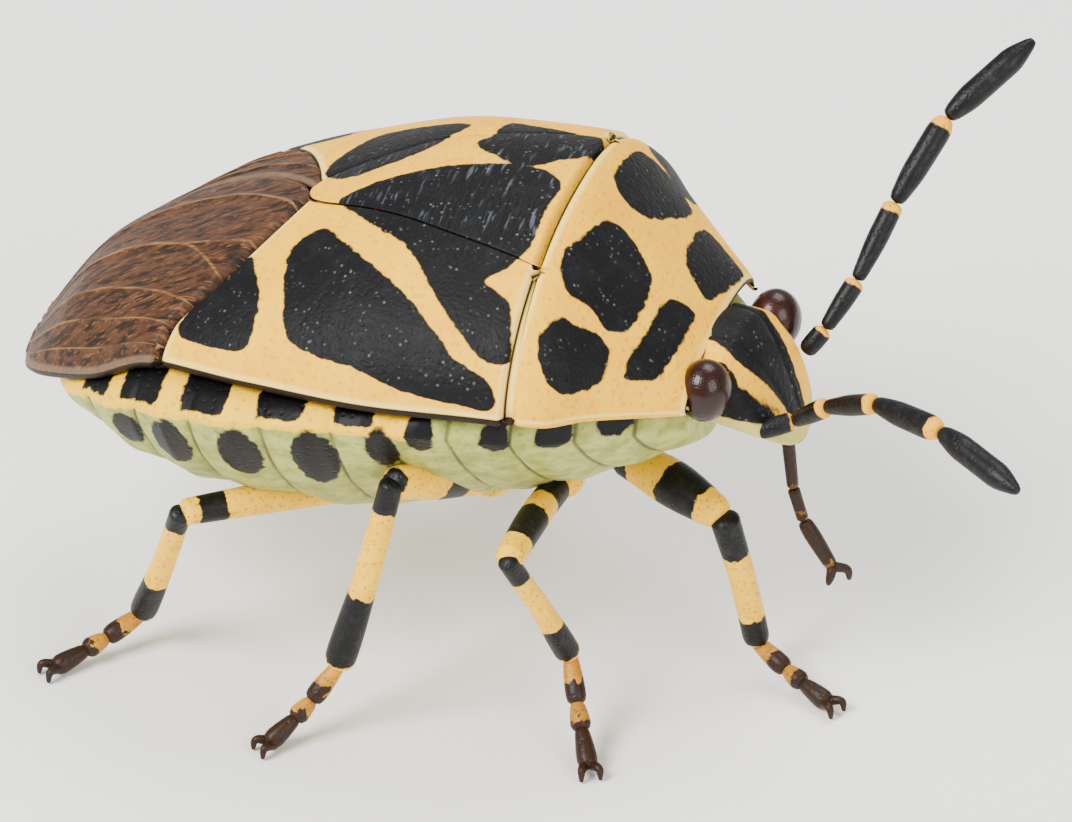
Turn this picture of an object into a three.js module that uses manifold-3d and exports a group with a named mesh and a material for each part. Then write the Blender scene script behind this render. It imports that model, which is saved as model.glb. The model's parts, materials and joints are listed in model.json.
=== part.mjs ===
import * as THREE from 'three';
import { mergeVertices } from 'three/addons/utils/BufferGeometryUtils.js';
import Module from 'manifold-3d';

// Crucifer shield bug, standing with its beak hanging and its feelers spread.
// Millimetres, +Z up, head towards +X, left side towards +Y.
// Body heights are counted from a level line through the wing margins, BODY_HEIGHT above the ground.

const BODY_HEIGHT = 4.25;
const PLATE = 0.5;
const RIM = 0.15;
const GAP = 0.03;
const DOME_POWER = 2.3;
const DOME_ROUND = 0.56;
const NARROW_HOLLOW = 0.35;
const THIN_DOME = 0.04;
const THIN_HOLLOW = 0.01;
const BELLY_INSET = 0.1;
const EDGE_DROP = 0.06;

const TAIL_X = -5.42;
const PRONOTUM_REAR_X = 1.6;
const PRONOTUM_FRONT_X = 3.5;
const THORAX_REAR_X = -0.35;
const CORE_FRONT_X = 3.42;
const CORE_TAIL_X = -5.03;
const SCUTELLUM_TIP_X = -1.86;
const PAST_TAIL_X = -5.6;
const PAST_SIDE_Y = 3.6;
const PAST_BODY_Z = 6;
const SEAM_END_Y = 3.4;
const HEAD_REAR_X = 3.53;
const HEAD_START_X = 3.38;
const HEAD_TIP_X = 4.64;
const HEAD_WIDEST = 0.45;
const HEAD_SQUARENESS = 0.85;

// The head is rolled and turned a little to its right about this place
const HEAD_PIVOT = [3.5, 0, 0.32];
const HEAD_ROLL = -0.11;
const HEAD_TURN = -0.13;

// Shortest edge kept after cutting, so that every solid stays closed
const FINEST_EDGE = 0.004;
const FINEST_CORE_EDGE = 0.03;
const SAME_POINT = 1e-4;

const YELLOW = 0xeec462;
const BLACK = 0x2b2b2e;
const BROWN = 0x4f3c30;
const GREEN = 0xb0b078;
const DARK_RED = 0x34201c;
const TAN = 0x6a4a2c;

const wasm = await Module();
wasm.setup();

// Smooth curve through a few stations, with no overshoot between them
function smooth(stations) {
  const xs = stations.map((station) => station[0]);
  const ys = stations.map((station) => station[1]);
  const last = xs.length - 1;
  const rise = xs.slice(1).map((x, i) => (ys[i + 1] - ys[i]) / (x - xs[i]));
  const slope = ys.map((y, i) => {
    if (i === 0) return rise[0];
    if (i === last) return rise[last - 1];
    const product = rise[i - 1] * rise[i];
    return product > 0 ? (2 * product) / (rise[i - 1] + rise[i]) : 0;
  });
  return (value) => {
    const x = THREE.MathUtils.clamp(value, xs[0], xs[last]);
    let i = 0;
    while (i < last - 1 && x > xs[i + 1]) i += 1;
    const h = xs[i + 1] - xs[i];
    const t = (x - xs[i]) / h;
    const s = 1 - t;
    return (1 + 2 * t) * s * s * ys[i] + t * s * s * h * slope[i]
      + t * t * (3 - 2 * t) * ys[i + 1] - t * t * s * h * slope[i + 1];
  };
}

// Body outlines along X: half widths, and heights over the level line
const wingHalf = smooth([
  [-5.44, 0], [-5.23, 1.05], [-4.6, 1.66], [-3.2, 2.33],
  [-1.8, 2.76], [0, 2.98], [1.6, 2.93],
]);
const pronotumHalf = smooth([[1.6, 2.74], [1.75, 2.86], [2.0, 2.8], [2.45, 2.38], [3.5, 1.5]]);
const crest = smooth([
  [-5.44, -1.05], [-4.6, 0.1], [-3.2, 0.96], [-1.7, 1.7],
  [0, 2.26], [1.5, 2.36], [2.55, 1.6], [3.5, 0.75],
]);
const margin = smooth([
  [-5.44, -1.05], [-4.9, -0.7], [-4.05, -0.25], [-3.1, 0.35],
  [-1.8, 0.53], [0, 0.64], [1.7, 0.72], [3.5, 0.36],
]);
const bellyHalf = smooth([
  [-5.05, 0.1], [-4.9, 0.85], [-4.5, 1.62], [-3.4, 2.62],
  [-1.8, 3.08], [0, 3.0], [1.6, 2.62], [2.6, 2.0],
  [3.45, 1.35],
]);
const bellyEdge = smooth([
  [-5.05, -1.1], [-3.4, -0.19], [-1.8, 0.15], [0, 0.3],
  [1.6, 0.2], [3.45, 0],
]);
const keel = smooth([
  [-5.05, -1.25], [-4.6, -1.5], [-3.6, -2.02], [-2.7, -2.25],
  [-1.1, -2.32], [0.5, -2.12], [1.6, -1.75], [2.6, -1.3],
  [3.45, -0.8],
]);
const bellyPower = smooth([[-0.6, 2.0], [0.4, 1.7]]);
const bellyRound = smooth([[-0.6, 0.8], [0.4, 0.95]]);

// Seams between the plates of the back, in plan: half widths or places against X or Y
const scutellumHalf = smooth([
  [-1.86, 0.02], [-1.72, 0.24], [-1.0, 0.62], [0, 1.06],
  [1.6, 1.55],
]);
const membraneSeam = smooth([
  [0, -1.72], [0.6, -1.95], [1.2, -2.25], [1.72, -2.6],
  [2.12, -2.95], [3.4, -3.2],
]);
const overlapSeam = smooth([
  [-5.6, 0.1], [-4.7, 0.95], [-3.8, 1.15], [-3.0, 0.95],
  [-2.3, 0.45], [-1.86, 0],
]);

// Head, by X: half width, top and underside
const headHalf = smooth([
  [3.53, 1.0], [3.85, 1.0], [4.1, 0.84], [4.4, 0.56],
  [4.56, 0.34], [4.64, 0.1],
]);
const headTop = smooth([
  [3.53, 0.76], [3.75, 0.68], [4.05, 0.33], [4.3, -0.05],
  [4.5, -0.38], [4.64, -0.62],
]);
const headBase = smooth([
  [3.53, -0.55], [4.0, -0.78], [4.3, -0.86], [4.56, -0.82],
  [4.64, -0.7],
]);

const EYE_CENTRE = [3.8, 1.08, 0.32];
const EYE_RADII = [0.31, 0.32, 0.36];

// Joints of the limbs, from the root outwards
const FEELERS = {
  right: [
    [4.2, -0.86, -0.2], [4.62, -0.66, -0.08], [5.1, -0.92, 0.38],
    [5.85, -1.43, 0.9], [6.85, -2.1, 1.12], [8.04, -2.9, 1.0],
  ],
  left: [
    [4.34, 0.74, -0.02], [4.56, 0.9, 0.28], [4.83, 1.35, 0.77],
    [5.11, 2.04, 1.54], [5.54, 2.83, 2.39], [6.4, 3.7, 3.16],
  ],
};
const FEELER_RADII = [0.25, 0.25];
const JOINT_CLEAR = 0.06;
const BEAK = [[4.36, 0, -0.88], [4.43, 0, -1.54], [4.57, 0, -2.0], [4.95, 0, -2.62]];
const BEAK_RADII = [0.25, 0.25];
const LEGS = {
  right_fore: [[1.6, -0.45, -1.65], [1.59, -2.79, -1.39], [2.14, -1.94, -3.26], [2.71, -3.0, -4.13]],
  left_fore: [[1.85, 0.4, -1.7], [3.7, -0.54, -1.78], [4.07, -0.24, -3.8], [5.17, -0.8, -4.13]],
  right_middle: [[0.7, -0.5, -1.8], [0.11, -2.79, -0.54], [-0.56, -2.95, -3.31], [-1.24, -3.7, -4.13]],
  left_middle: [[0.7, 0.5, -1.8], [0.45, 2.85, -0.5], [-0.05, 3.1, -3.3], [-0.55, 3.95, -4.13]],
  right_hind: [[-0.5, -0.4, -2.2], [-2.68, -2.67, -1.62], [-3.47, -1.99, -3.75], [-4.32, -2.94, -4.13]],
  left_hind: [[-0.5, 0.4, -2.2], [-2.6, 2.65, -1.62], [-3.15, 2.35, -3.75], [-3.95, 3.3, -4.13]],
};
const COXA_RADII = [0.34, 0.34, 0.42];
const FEMUR_RADII = [0.25, 0.27, 0.29, 0.25];
const FORE_FEMUR_RADII = [0.25, 0.29, 0.31, 0.26];
const TIBIA_RADII = [0.25, 0.25];
const TARSUS_RADII = [0.25, 0.25];
const FEMUR_START = 0.3;
const KNEE_OVERRUN = 0.1;
const CLAW_SPREAD = 0.42;
const CLAW_LENGTH = 0.3;
const CLAW_ROOT = 0.12;
const CLAW_RADII = [0.16, 0.16];

const vector = (p) => new THREE.Vector3(p[0], p[1], p[2]);
const span = (from, to, count) => Array.from({ length: count + 1 }, (_, i) => from + ((to - from) * i) / count);

// Volume inside a closed mesh, below zero where its faces point inwards
function volume(positions, index) {
  const corner = (i) => new THREE.Vector3().fromArray(positions, 3 * index[i]);
  let sum = 0;
  for (let i = 0; i < index.length; i += 3) {
    sum += corner(i).dot(corner(i + 1).cross(corner(i + 2))) / 6;
  }
  return sum;
}

// Closed body through rings of points; each end is closed by a strip or by a fan
function loft(rings, closing) {
  const size = rings[0].length;
  const positions = rings.flat().flatMap((p) => [p.x, p.y, p.z]);
  const index = [];
  for (let i = 0; i + 1 < rings.length; i += 1) {
    for (let j = 0; j < size; j += 1) {
      const a = i * size + j;
      const b = i * size + ((j + 1) % size);
      index.push(a, b, b + size, a, b + size, a + size);
    }
  }
  const last = (rings.length - 1) * size;
  if (closing === 'strip') {
    for (let j = 0; j + 1 < size / 2; j += 1) {
      const k = size - 1 - j;
      index.push(j, k, k - 1, j, k - 1, j + 1);
      index.push(last + j, last + k - 1, last + k, last + j, last + j + 1, last + k - 1);
    }
  } else {
    for (const [ring, start, flip] of [[rings[0], 0, false], [rings.at(-1), last, true]]) {
      const centre = ring.reduce((sum, p) => sum.add(p), new THREE.Vector3()).divideScalar(size);
      const c = positions.length / 3;
      positions.push(centre.x, centre.y, centre.z);
      for (let j = 0; j < size; j += 1) {
        const a = start + j;
        const b = start + ((j + 1) % size);
        index.push(...(flip ? [a, b, c] : [b, a, c]));
      }
    }
  }
  const geometry = new THREE.BufferGeometry();
  geometry.setAttribute('position', new THREE.Float32BufferAttribute(positions, 3));
  geometry.setIndex(volume(positions, index) < 0 ? index.reverse() : index);
  return geometry;
}

// Solid for cutting and joining, and back
function solidOf(geometry) {
  const bare = geometry.clone();
  bare.deleteAttribute('normal');
  bare.deleteAttribute('uv');
  const merged = mergeVertices(bare, SAME_POINT);
  const triangles = [];
  const index = merged.index.array;
  for (let i = 0; i < index.length; i += 3) {
    const [a, b, c] = [index[i], index[i + 1], index[i + 2]];
    if (a !== b && b !== c && c !== a) triangles.push(a, b, c);
  }
  const mesh = new wasm.Mesh({
    numProp: 3,
    vertProperties: new Float32Array(merged.attributes.position.array),
    triVerts: new Uint32Array(triangles),
  });
  return new wasm.Manifold(mesh);
}

function geometryOf(solid, finest = FINEST_EDGE) {
  const mesh = solid.simplify(finest).getMesh();
  const geometry = new THREE.BufferGeometry();
  geometry.setAttribute('position', new THREE.BufferAttribute(new Float32Array(mesh.vertProperties), 3));
  geometry.setIndex(new THREE.BufferAttribute(new Uint32Array(mesh.triVerts), 1));
  return geometry;
}

// Upright prism over a plan outline, for parting the plates
function prism(outline) {
  const shape = new THREE.Shape(outline.map(([x, y]) => new THREE.Vector2(x, y)));
  const geometry = new THREE.ExtrudeGeometry(shape, { depth: 2 * PAST_BODY_Z, bevelEnabled: false });
  geometry.translate(0, 0, -PAST_BODY_Z);
  return solidOf(geometry);
}

function ellipsoid(centre, radii, around = 12, down = 8) {
  const geometry = new THREE.SphereGeometry(1, around, down);
  geometry.scale(radii[0], radii[1], radii[2]);
  geometry.translate(centre[0], centre[1], centre[2]);
  return geometry;
}

const dome = (t) => (1 - Math.abs(t) ** DOME_POWER) ** DOME_ROUND;
const hollowHalf = (half) => Math.max(half - PLATE, NARROW_HOLLOW * half);

// Plates of the back: a curved shell PLATE thick, with a rim along the margins
function shell(half, from, to, steps, across) {
  const angles = span(-Math.PI / 2, Math.PI / 2, across);
  const rings = span(from, to, steps).map((x) => {
    const outerHalf = half(x);
    const innerHalf = hollowHalf(outerHalf);
    const base = margin(x);
    const height = Math.max(crest(x) - base, THIN_DOME);
    const innerHeight = Math.max(height + RIM - PLATE, THIN_HOLLOW);
    const outer = angles.map((angle) => {
      const t = Math.sin(angle);
      return new THREE.Vector3(x, outerHalf * t, base + height * dome(t));
    });
    const inner = angles.map((angle) => {
      const t = Math.sin(angle);
      return new THREE.Vector3(x, innerHalf * t, base - RIM + innerHeight * dome(t));
    });
    return [...outer, ...inner.reverse()];
  });
  return loft(rings, 'strip');
}

// Body under the plates: belly below, and above it a core that fills the plates' hollow
function core(from, to, steps) {
  const rings = span(from, to, steps).map((x) => {
    const half = bellyHalf(x);
    const plateHalf = x < PRONOTUM_REAR_X ? wingHalf(x) : pronotumHalf(x);
    const innerHalf = Math.min(hollowHalf(plateHalf) - GAP, half - BELLY_INSET);
    const base = margin(x) - RIM - GAP;
    const edge = Math.min(bellyEdge(x), base - EDGE_DROP);
    const height = Math.max(crest(x) - margin(x) + RIM - PLATE, THIN_HOLLOW);
    const below = span(Math.PI / 2, -Math.PI / 2, 12).map((angle) => {
      const t = Math.sin(angle);
      const depth = (edge - keel(x)) * (1 - Math.abs(t) ** bellyPower(x)) ** bellyRound(x);
      return new THREE.Vector3(x, half * t, edge - depth);
    });
    const above = span(-Math.PI / 2, Math.PI / 2, 6).map((angle) => {
      const t = Math.sin(angle);
      return new THREE.Vector3(x, innerHalf * t, base + height * dome(t));
    });
    return [...below, ...above];
  });
  return loft(rings, 'fan');
}

// Ends of a limb: how far in from the tip, and how wide, both in radii
const ROUND_END = [[0.12, 0.45], [0.5, 0.86]];
const BLUNT_END = [[0.08, 0.82]];
const CLAW_END = [[0.3, 0.7]];

// Round limb along a path, with radii spread evenly along it
function limb(points, radii, capSteps = ROUND_END, sides = 8) {
  const path = new THREE.CatmullRomCurve3(points, false, 'centripetal');
  const count = radii.length - 1;
  const radiusAt = smooth(radii.map((radius, i) => [i / count, radius]));
  const start = points[0];
  const finish = points.at(-1);
  const length = path.getLength();
  const stations = [];
  for (const [along, scale] of capSteps) {
    stations.push([(along * radii[0]) / length, scale * radii[0]]);
  }
  const capLength = Math.min(capSteps.at(-1)[0] * 2, 1);
  const first = (capLength * radii[0]) / length;
  const end = 1 - (capLength * radii.at(-1)) / length;
  for (const u of span(first, end, count)) stations.push([u, radiusAt(u)]);
  for (const [along, scale] of capSteps.slice().reverse()) {
    stations.push([1 - (along * radii.at(-1)) / length, scale * radii.at(-1)]);
  }
  const direction = finish.clone().sub(start).normalize();
  const side = new THREE.Vector3(0, 0, 1).cross(direction).normalize();
  const rings = stations.map(([u, radius]) => {
    const centre = path.getPointAt(u);
    const along = path.getTangentAt(u);
    const across = side.clone().addScaledVector(along, -side.dot(along)).normalize();
    const over = along.clone().cross(across);
    return span(0, 2 * Math.PI, sides).slice(0, sides).map((angle) => centre.clone()
      .addScaledVector(across, radius * Math.cos(angle))
      .addScaledVector(over, radius * Math.sin(angle)));
  });
  return loft(rings.map((ring) => ring.slice().reverse()), 'fan');
}

// Round joint-to-joint piece, held clear of the pieces before and after it
function segment(from, to, radii, clearStart, clearEnd, ends = ROUND_END) {
  const direction = to.clone().sub(from).normalize();
  const start = from.clone().addScaledVector(direction, clearStart);
  const finish = to.clone().addScaledVector(direction, -clearEnd);
  return limb([start, start.clone().lerp(finish, 0.5), finish], radii, ends);
}

// Space that a piece needs around it
const grown = (radii) => radii.map((radius) => radius + GAP);
const femurRadii = (name) => (name.includes('fore') ? FORE_FEMUR_RADII : FEMUR_RADII);
const coxaSpace = (hip) => solidOf(ellipsoid(hip, grown(COXA_RADII), 8, 6));

const body = new THREE.Group();
body.position.z = BODY_HEIGHT;

function add(name, geometry, color, roughness = 0.45) {
  const material = new THREE.MeshStandardMaterial({ color, roughness, metalness: 0 });
  const mesh = new THREE.Mesh(geometry, material);
  mesh.name = name;
  body.add(mesh);
}

// Plates of the back, parted along their seams
function buildBack() {
  const wings = solidOf(shell(wingHalf, TAIL_X, PRONOTUM_REAR_X - GAP, 18, 14));
  const scutellumSide = span(PRONOTUM_REAR_X, SCUTELLUM_TIP_X, 8).map((x) => [x, scutellumHalf(x)]);
  const seamSide = span(0, SEAM_END_Y, 10).map((y) => [membraneSeam(y), y]);
  const shift = (points, dx, dy) => points.map(([x, y]) => [x + dx, y + dy]);
  const mirror = (points) => points.map(([x, y]) => [x, -y]).reverse();

  const scutellumHalfOutline = shift(scutellumSide, 0, -GAP / 2);
  const scutellumOutline = [...scutellumHalfOutline, ...mirror(scutellumHalfOutline)];
  add('scutellum', geometryOf(wings.intersect(prism(scutellumOutline))), BLACK);

  const seamFrom = seamSide.filter(([x, y]) => y > scutellumHalf(x) + GAP / 2);
  const seamEndX = seamFrom.at(-1)[0];
  const sideTo = scutellumSide.filter(([x]) => x > seamFrom[0][0] + GAP);
  const coriumOutline = [
    ...shift(sideTo, 0, GAP / 2),
    ...shift(seamFrom, GAP / 2, 0),
    [seamEndX, PAST_SIDE_Y],
    [PRONOTUM_REAR_X, PAST_SIDE_Y],
  ];
  add('corium_left', geometryOf(wings.intersect(prism(coriumOutline))), YELLOW);
  add('corium_right', geometryOf(wings.intersect(prism(mirror(coriumOutline)))), YELLOW);

  const overlap = span(SCUTELLUM_TIP_X - GAP, PAST_TAIL_X, 12).map((x) => [x, overlapSeam(x)]);
  const rearSeam = [...shift(seamFrom, -GAP / 2, 0), [seamEndX, PAST_SIDE_Y]];
  const rightOutline = [
    [SCUTELLUM_TIP_X - GAP, 0],
    ...shift(overlap, 0, -GAP / 2),
    [PAST_TAIL_X, -PAST_SIDE_Y],
    ...mirror(rearSeam),
  ];
  const leftOutline = [
    ...rearSeam,
    [PAST_TAIL_X, PAST_SIDE_Y],
    ...shift(overlap, 0, GAP / 2).reverse(),
  ];
  add('membrane_right', geometryOf(wings.intersect(prism(rightOutline))), BROWN);
  add('membrane_left', geometryOf(wings.intersect(prism(leftOutline))), BROWN);

  add('pronotum', shell(pronotumHalf, PRONOTUM_REAR_X, PRONOTUM_FRONT_X, 8, 12), YELLOW);
}

// Belly and thorax, with a socket for each coxa and a furrow where each femur lies against them
function buildCore() {
  let abdomen = solidOf(core(CORE_TAIL_X, THORAX_REAR_X - GAP, 9));
  let thorax = solidOf(core(THORAX_REAR_X, CORE_FRONT_X, 9));
  for (const [name, [hip, knee]] of Object.entries(LEGS)) {
    const radii = grown(femurRadii(name));
    const femurSpace = solidOf(segment(vector(hip), vector(knee), radii, FEMUR_START, -KNEE_OVERRUN));
    const space = coxaSpace(hip).add(femurSpace);
    abdomen = abdomen.subtract(space);
    thorax = thorax.subtract(space);
  }
  add('abdomen', geometryOf(abdomen, FINEST_CORE_EDGE), GREEN);
  add('thorax', geometryOf(thorax, FINEST_CORE_EDGE), GREEN);
}

const headPose = new THREE.Euler(HEAD_ROLL, 0, HEAD_TURN, 'ZYX');
const posed = (point) => point.sub(vector(HEAD_PIVOT)).applyEuler(headPose).add(vector(HEAD_PIVOT));

// Head with a socket for each eye and each feeler
function buildHead() {
  const rings = span(HEAD_START_X, HEAD_TIP_X, 9).map((x) => {
    const top = headTop(x);
    const base = headBase(x);
    const middle = THREE.MathUtils.lerp(base, top, HEAD_WIDEST);
    return span(0, 2 * Math.PI, 16).slice(0, 16).map((angle) => {
      const sine = Math.sin(angle);
      const height = sine > 0 ? top - middle : middle - base;
      const rise = Math.sign(sine) * Math.abs(sine) ** HEAD_SQUARENESS;
      return posed(new THREE.Vector3(x, -headHalf(x) * Math.cos(angle), middle + height * rise));
    });
  });
  const behind = new THREE.BoxGeometry(2, PAST_BODY_Z, PAST_BODY_Z);
  behind.translate(HEAD_REAR_X - 1, 0, 0);
  const pronotumSpace = solidOf(behind);
  let head = solidOf(loft(rings, 'fan')).subtract(pronotumSpace);
  for (const side of [-1, 1]) {
    const [x, y, z] = EYE_CENTRE;
    const centre = posed(new THREE.Vector3(x, side * y, z)).toArray();
    head = head.subtract(solidOf(ellipsoid(centre, grown(EYE_RADII))));
    const eye = solidOf(ellipsoid(centre, EYE_RADII)).subtract(pronotumSpace);
    add(side < 0 ? 'eye_right' : 'eye_left', geometryOf(eye), DARK_RED, 0.2);
  }
  for (const [root, next] of Object.values(FEELERS)) {
    head = head.subtract(solidOf(segment(vector(root), vector(next), grown(FEELER_RADII), 0, 0)));
  }
  add('head', geometryOf(head), BLACK);
}

// Blunt length of a feeler or of the beak
function link(from, to, radii) {
  return segment(vector(from), vector(to), radii, JOINT_CLEAR, JOINT_CLEAR, BLUNT_END);
}

function buildFeelers() {
  for (const [side, joints] of Object.entries(FEELERS)) {
    for (let i = 0; i + 1 < joints.length; i += 1) {
      add(`feeler_${side}_${i + 1}`, link(joints[i], joints[i + 1], FEELER_RADII), BLACK);
    }
  }
}

function buildBeak() {
  for (let i = 0; i + 1 < BEAK.length; i += 1) {
    add(`beak_${i + 1}`, link(BEAK[i], BEAK[i + 1], BEAK_RADII), TAN);
  }
}

// Tarsus with two claws, cut flat where it stands
function foot(ankle, toe) {
  let solid = solidOf(limb([ankle, ankle.clone().lerp(toe, 0.5), toe], TARSUS_RADII));
  const flat = new THREE.Vector3(toe.x - ankle.x, toe.y - ankle.y, 0).normalize();
  for (const turn of [-CLAW_SPREAD, CLAW_SPREAD]) {
    const aim = flat.clone().applyAxisAngle(new THREE.Vector3(0, 0, 1), turn);
    const root = toe.clone().addScaledVector(flat, -CLAW_ROOT);
    const tip = root.clone().addScaledVector(aim, CLAW_LENGTH + CLAW_ROOT);
    const claw = limb([root, root.clone().lerp(tip, 0.5), tip], CLAW_RADII, CLAW_END, 6);
    solid = solid.add(solidOf(claw));
  }
  const ground = new THREE.BoxGeometry(30, 30, 2);
  ground.translate(0, 0, -BODY_HEIGHT - 1);
  return solid.subtract(solidOf(ground));
}

function buildLegs() {
  for (const [name, joints] of Object.entries(LEGS)) {
    const [hip, knee, ankle, toe] = joints.map(vector);
    const tibiaSpace = solidOf(segment(knee, ankle, grown(TIBIA_RADII), -KNEE_OVERRUN - GAP, -GAP));
    const femur = solidOf(segment(hip, knee, femurRadii(name), FEMUR_START, -KNEE_OVERRUN));
    add(`${name}_coxa`, ellipsoid(joints[0], COXA_RADII, 8, 6), YELLOW);
    const cutFemur = femur.subtract(coxaSpace(joints[0])).subtract(tibiaSpace);
    add(`${name}_femur`, geometryOf(cutFemur), YELLOW);
    add(`${name}_tibia`, segment(knee, ankle, TIBIA_RADII, -KNEE_OVERRUN, 0), YELLOW);
    add(`${name}_tarsus`, geometryOf(foot(ankle, toe).subtract(tibiaSpace)), TAN);
  }
}

buildBack();
buildCore();
buildHead();
buildFeelers();
buildBeak();
buildLegs();

// Origin on the ground, under the middle of the whole bug
const bug = new THREE.Group();
bug.add(body);
bug.updateMatrixWorld(true);
const box = new THREE.Box3().setFromObject(bug);
bug.position.set(-(box.min.x + box.max.x) / 2, -(box.min.y + box.max.y) / 2, -box.min.z);

export default bug;
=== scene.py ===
"""Crucifer shield bug, life size: plates, skin, legs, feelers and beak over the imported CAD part.

Shapes are worked out in millimetres in the body's own frame: x to the head, y to the left side,
z from a level line through the wing margins. They are moved to the row frame, in metres, at the end.
"""

from __future__ import annotations

import json
import logging
import math
from collections.abc import Callable
from dataclasses import dataclass
from enum import Enum
from typing import ClassVar

import bpy
import numpy as np
from mathutils import Matrix, Vector

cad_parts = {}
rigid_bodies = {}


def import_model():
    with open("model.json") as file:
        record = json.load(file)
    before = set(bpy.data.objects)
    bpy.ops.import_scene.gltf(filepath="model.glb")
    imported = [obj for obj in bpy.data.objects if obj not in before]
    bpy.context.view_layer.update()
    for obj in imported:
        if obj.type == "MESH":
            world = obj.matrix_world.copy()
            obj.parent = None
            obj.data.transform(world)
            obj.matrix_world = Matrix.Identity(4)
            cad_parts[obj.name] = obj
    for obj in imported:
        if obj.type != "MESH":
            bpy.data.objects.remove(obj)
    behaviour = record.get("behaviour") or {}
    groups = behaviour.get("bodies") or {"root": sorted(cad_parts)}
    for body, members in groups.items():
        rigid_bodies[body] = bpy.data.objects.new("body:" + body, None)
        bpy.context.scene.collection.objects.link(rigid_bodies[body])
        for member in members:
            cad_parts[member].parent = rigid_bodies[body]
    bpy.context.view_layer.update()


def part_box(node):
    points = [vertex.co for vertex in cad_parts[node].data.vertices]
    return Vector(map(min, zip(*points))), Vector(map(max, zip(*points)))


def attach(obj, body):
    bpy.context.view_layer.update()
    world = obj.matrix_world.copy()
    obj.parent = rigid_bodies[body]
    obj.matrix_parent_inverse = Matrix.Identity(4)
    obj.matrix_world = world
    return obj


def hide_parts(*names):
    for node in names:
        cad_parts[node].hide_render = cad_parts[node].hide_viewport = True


LOG = logging.getLogger("shield_bug")
MM = 0.001
ROOT = "root"
Array = np.ndarray
Point = tuple[float, float, float]
Surface = Callable[[Array, Array], Array]
Socket = bpy.types.NodeSocket


class Side(Enum):
    """A side of the body, as the sign of y."""

    LEFT = 1
    RIGHT = -1

    @property
    def word(self) -> str:
        """The side's name, as the CAD nodes have it."""
        return self.name.lower()


class Profile:
    """Smooth curve through a few stations, with no overshoot between them."""

    def __init__(self, *stations: tuple[float, float]) -> None:
        """Keeps the stations and the slope at each."""
        self.x, self.y = np.array(stations, float).T
        rise = np.diff(self.y) / np.diff(self.x)
        self.slope = np.concatenate([rise[:1], np.zeros(len(rise) - 1), rise[-1:]])
        for i in range(1, len(rise)):
            product = rise[i - 1] * rise[i]
            if product > 0:
                self.slope[i] = 2 * product / (rise[i - 1] + rise[i])

    def __call__(self, value: Array | float) -> Array:
        """The curve's height at each value, held level past the ends."""
        x = np.clip(value, self.x[0], self.x[-1])
        i = np.clip(np.searchsorted(self.x, x, side="right") - 1, 0, len(self.x) - 2)
        h = self.x[i + 1] - self.x[i]
        t = (x - self.x[i]) / h
        s = 1 - t
        start = (1 + 2 * t) * s * s * self.y[i] + t * s * s * h * self.slope[i]
        end = t * t * (3 - 2 * t) * self.y[i + 1] - t * t * s * h * self.slope[i + 1]
        return start + end


class Outline:
    """Closed smooth outline of a marking, on the unrolled back."""

    STEPS = 8

    def __init__(self, *points: tuple[float, float]) -> None:
        """Draws the smooth line through the points, which are plan millimetres."""
        p = np.array(points, float)
        before, after, beyond = np.roll(p, 1, 0), np.roll(p, -1, 0), np.roll(p, -2, 0)
        t = (np.arange(self.STEPS) / self.STEPS)[:, None, None]
        curve = 0.5 * (
            2 * p
            + (after - before) * t
            + (2 * before - 5 * p + 4 * after - beyond) * t**2
            + (3 * p - before - 3 * after + beyond) * t**3
        )
        self.line = curve.transpose(1, 0, 2).reshape(-1, 2)

    def mirrored(self) -> Outline:
        """The same outline on the other side of the body."""
        other = Outline.__new__(Outline)
        other.line = self.line * (1, -1)
        return other

    def distance(self, u: Array, v: Array, unroll: Surface) -> Array:
        """Signed distance to the outline, below zero inside it.

        Args:
            u: Places along the body, in millimetres.
            v: Unrolled places across it.
            unroll: Turns the outline's own plan places into unrolled ones.

        Returns:
            One distance for each place, in millimetres.
        """
        a = np.stack([self.line[:, 0], unroll(self.line[:, 0], self.line[:, 1])], 1)
        b = np.roll(a, -1, 0)
        place = np.stack([u.ravel(), v.ravel()], 1)
        nearest = np.full(len(place), np.inf)
        inside = np.zeros(len(place), bool)
        for start, end in zip(a, b):
            along = end - start
            share = ((place - start) @ along) / max(along @ along, 1e-12)
            away = place - start - np.clip(share, 0, 1)[:, None] * along
            nearest = np.minimum(nearest, np.hypot(away[:, 0], away[:, 1]))
            crosses = (start[1] > place[:, 1]) != (end[1] > place[:, 1])
            rise = end[1] - start[1] if end[1] != start[1] else 1e-12
            reach = start[0] + (place[:, 1] - start[1]) / rise * along[0]
            inside ^= crosses & (place[:, 0] < reach)
        return np.where(inside, -nearest, nearest).reshape(u.shape)


def level(x: Array, y: Array) -> Array:
    """Leaves plan places as they are, for a marking on a surface that isn't unrolled."""
    return y


# ---------------------------------------------------------------- body shape


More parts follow.
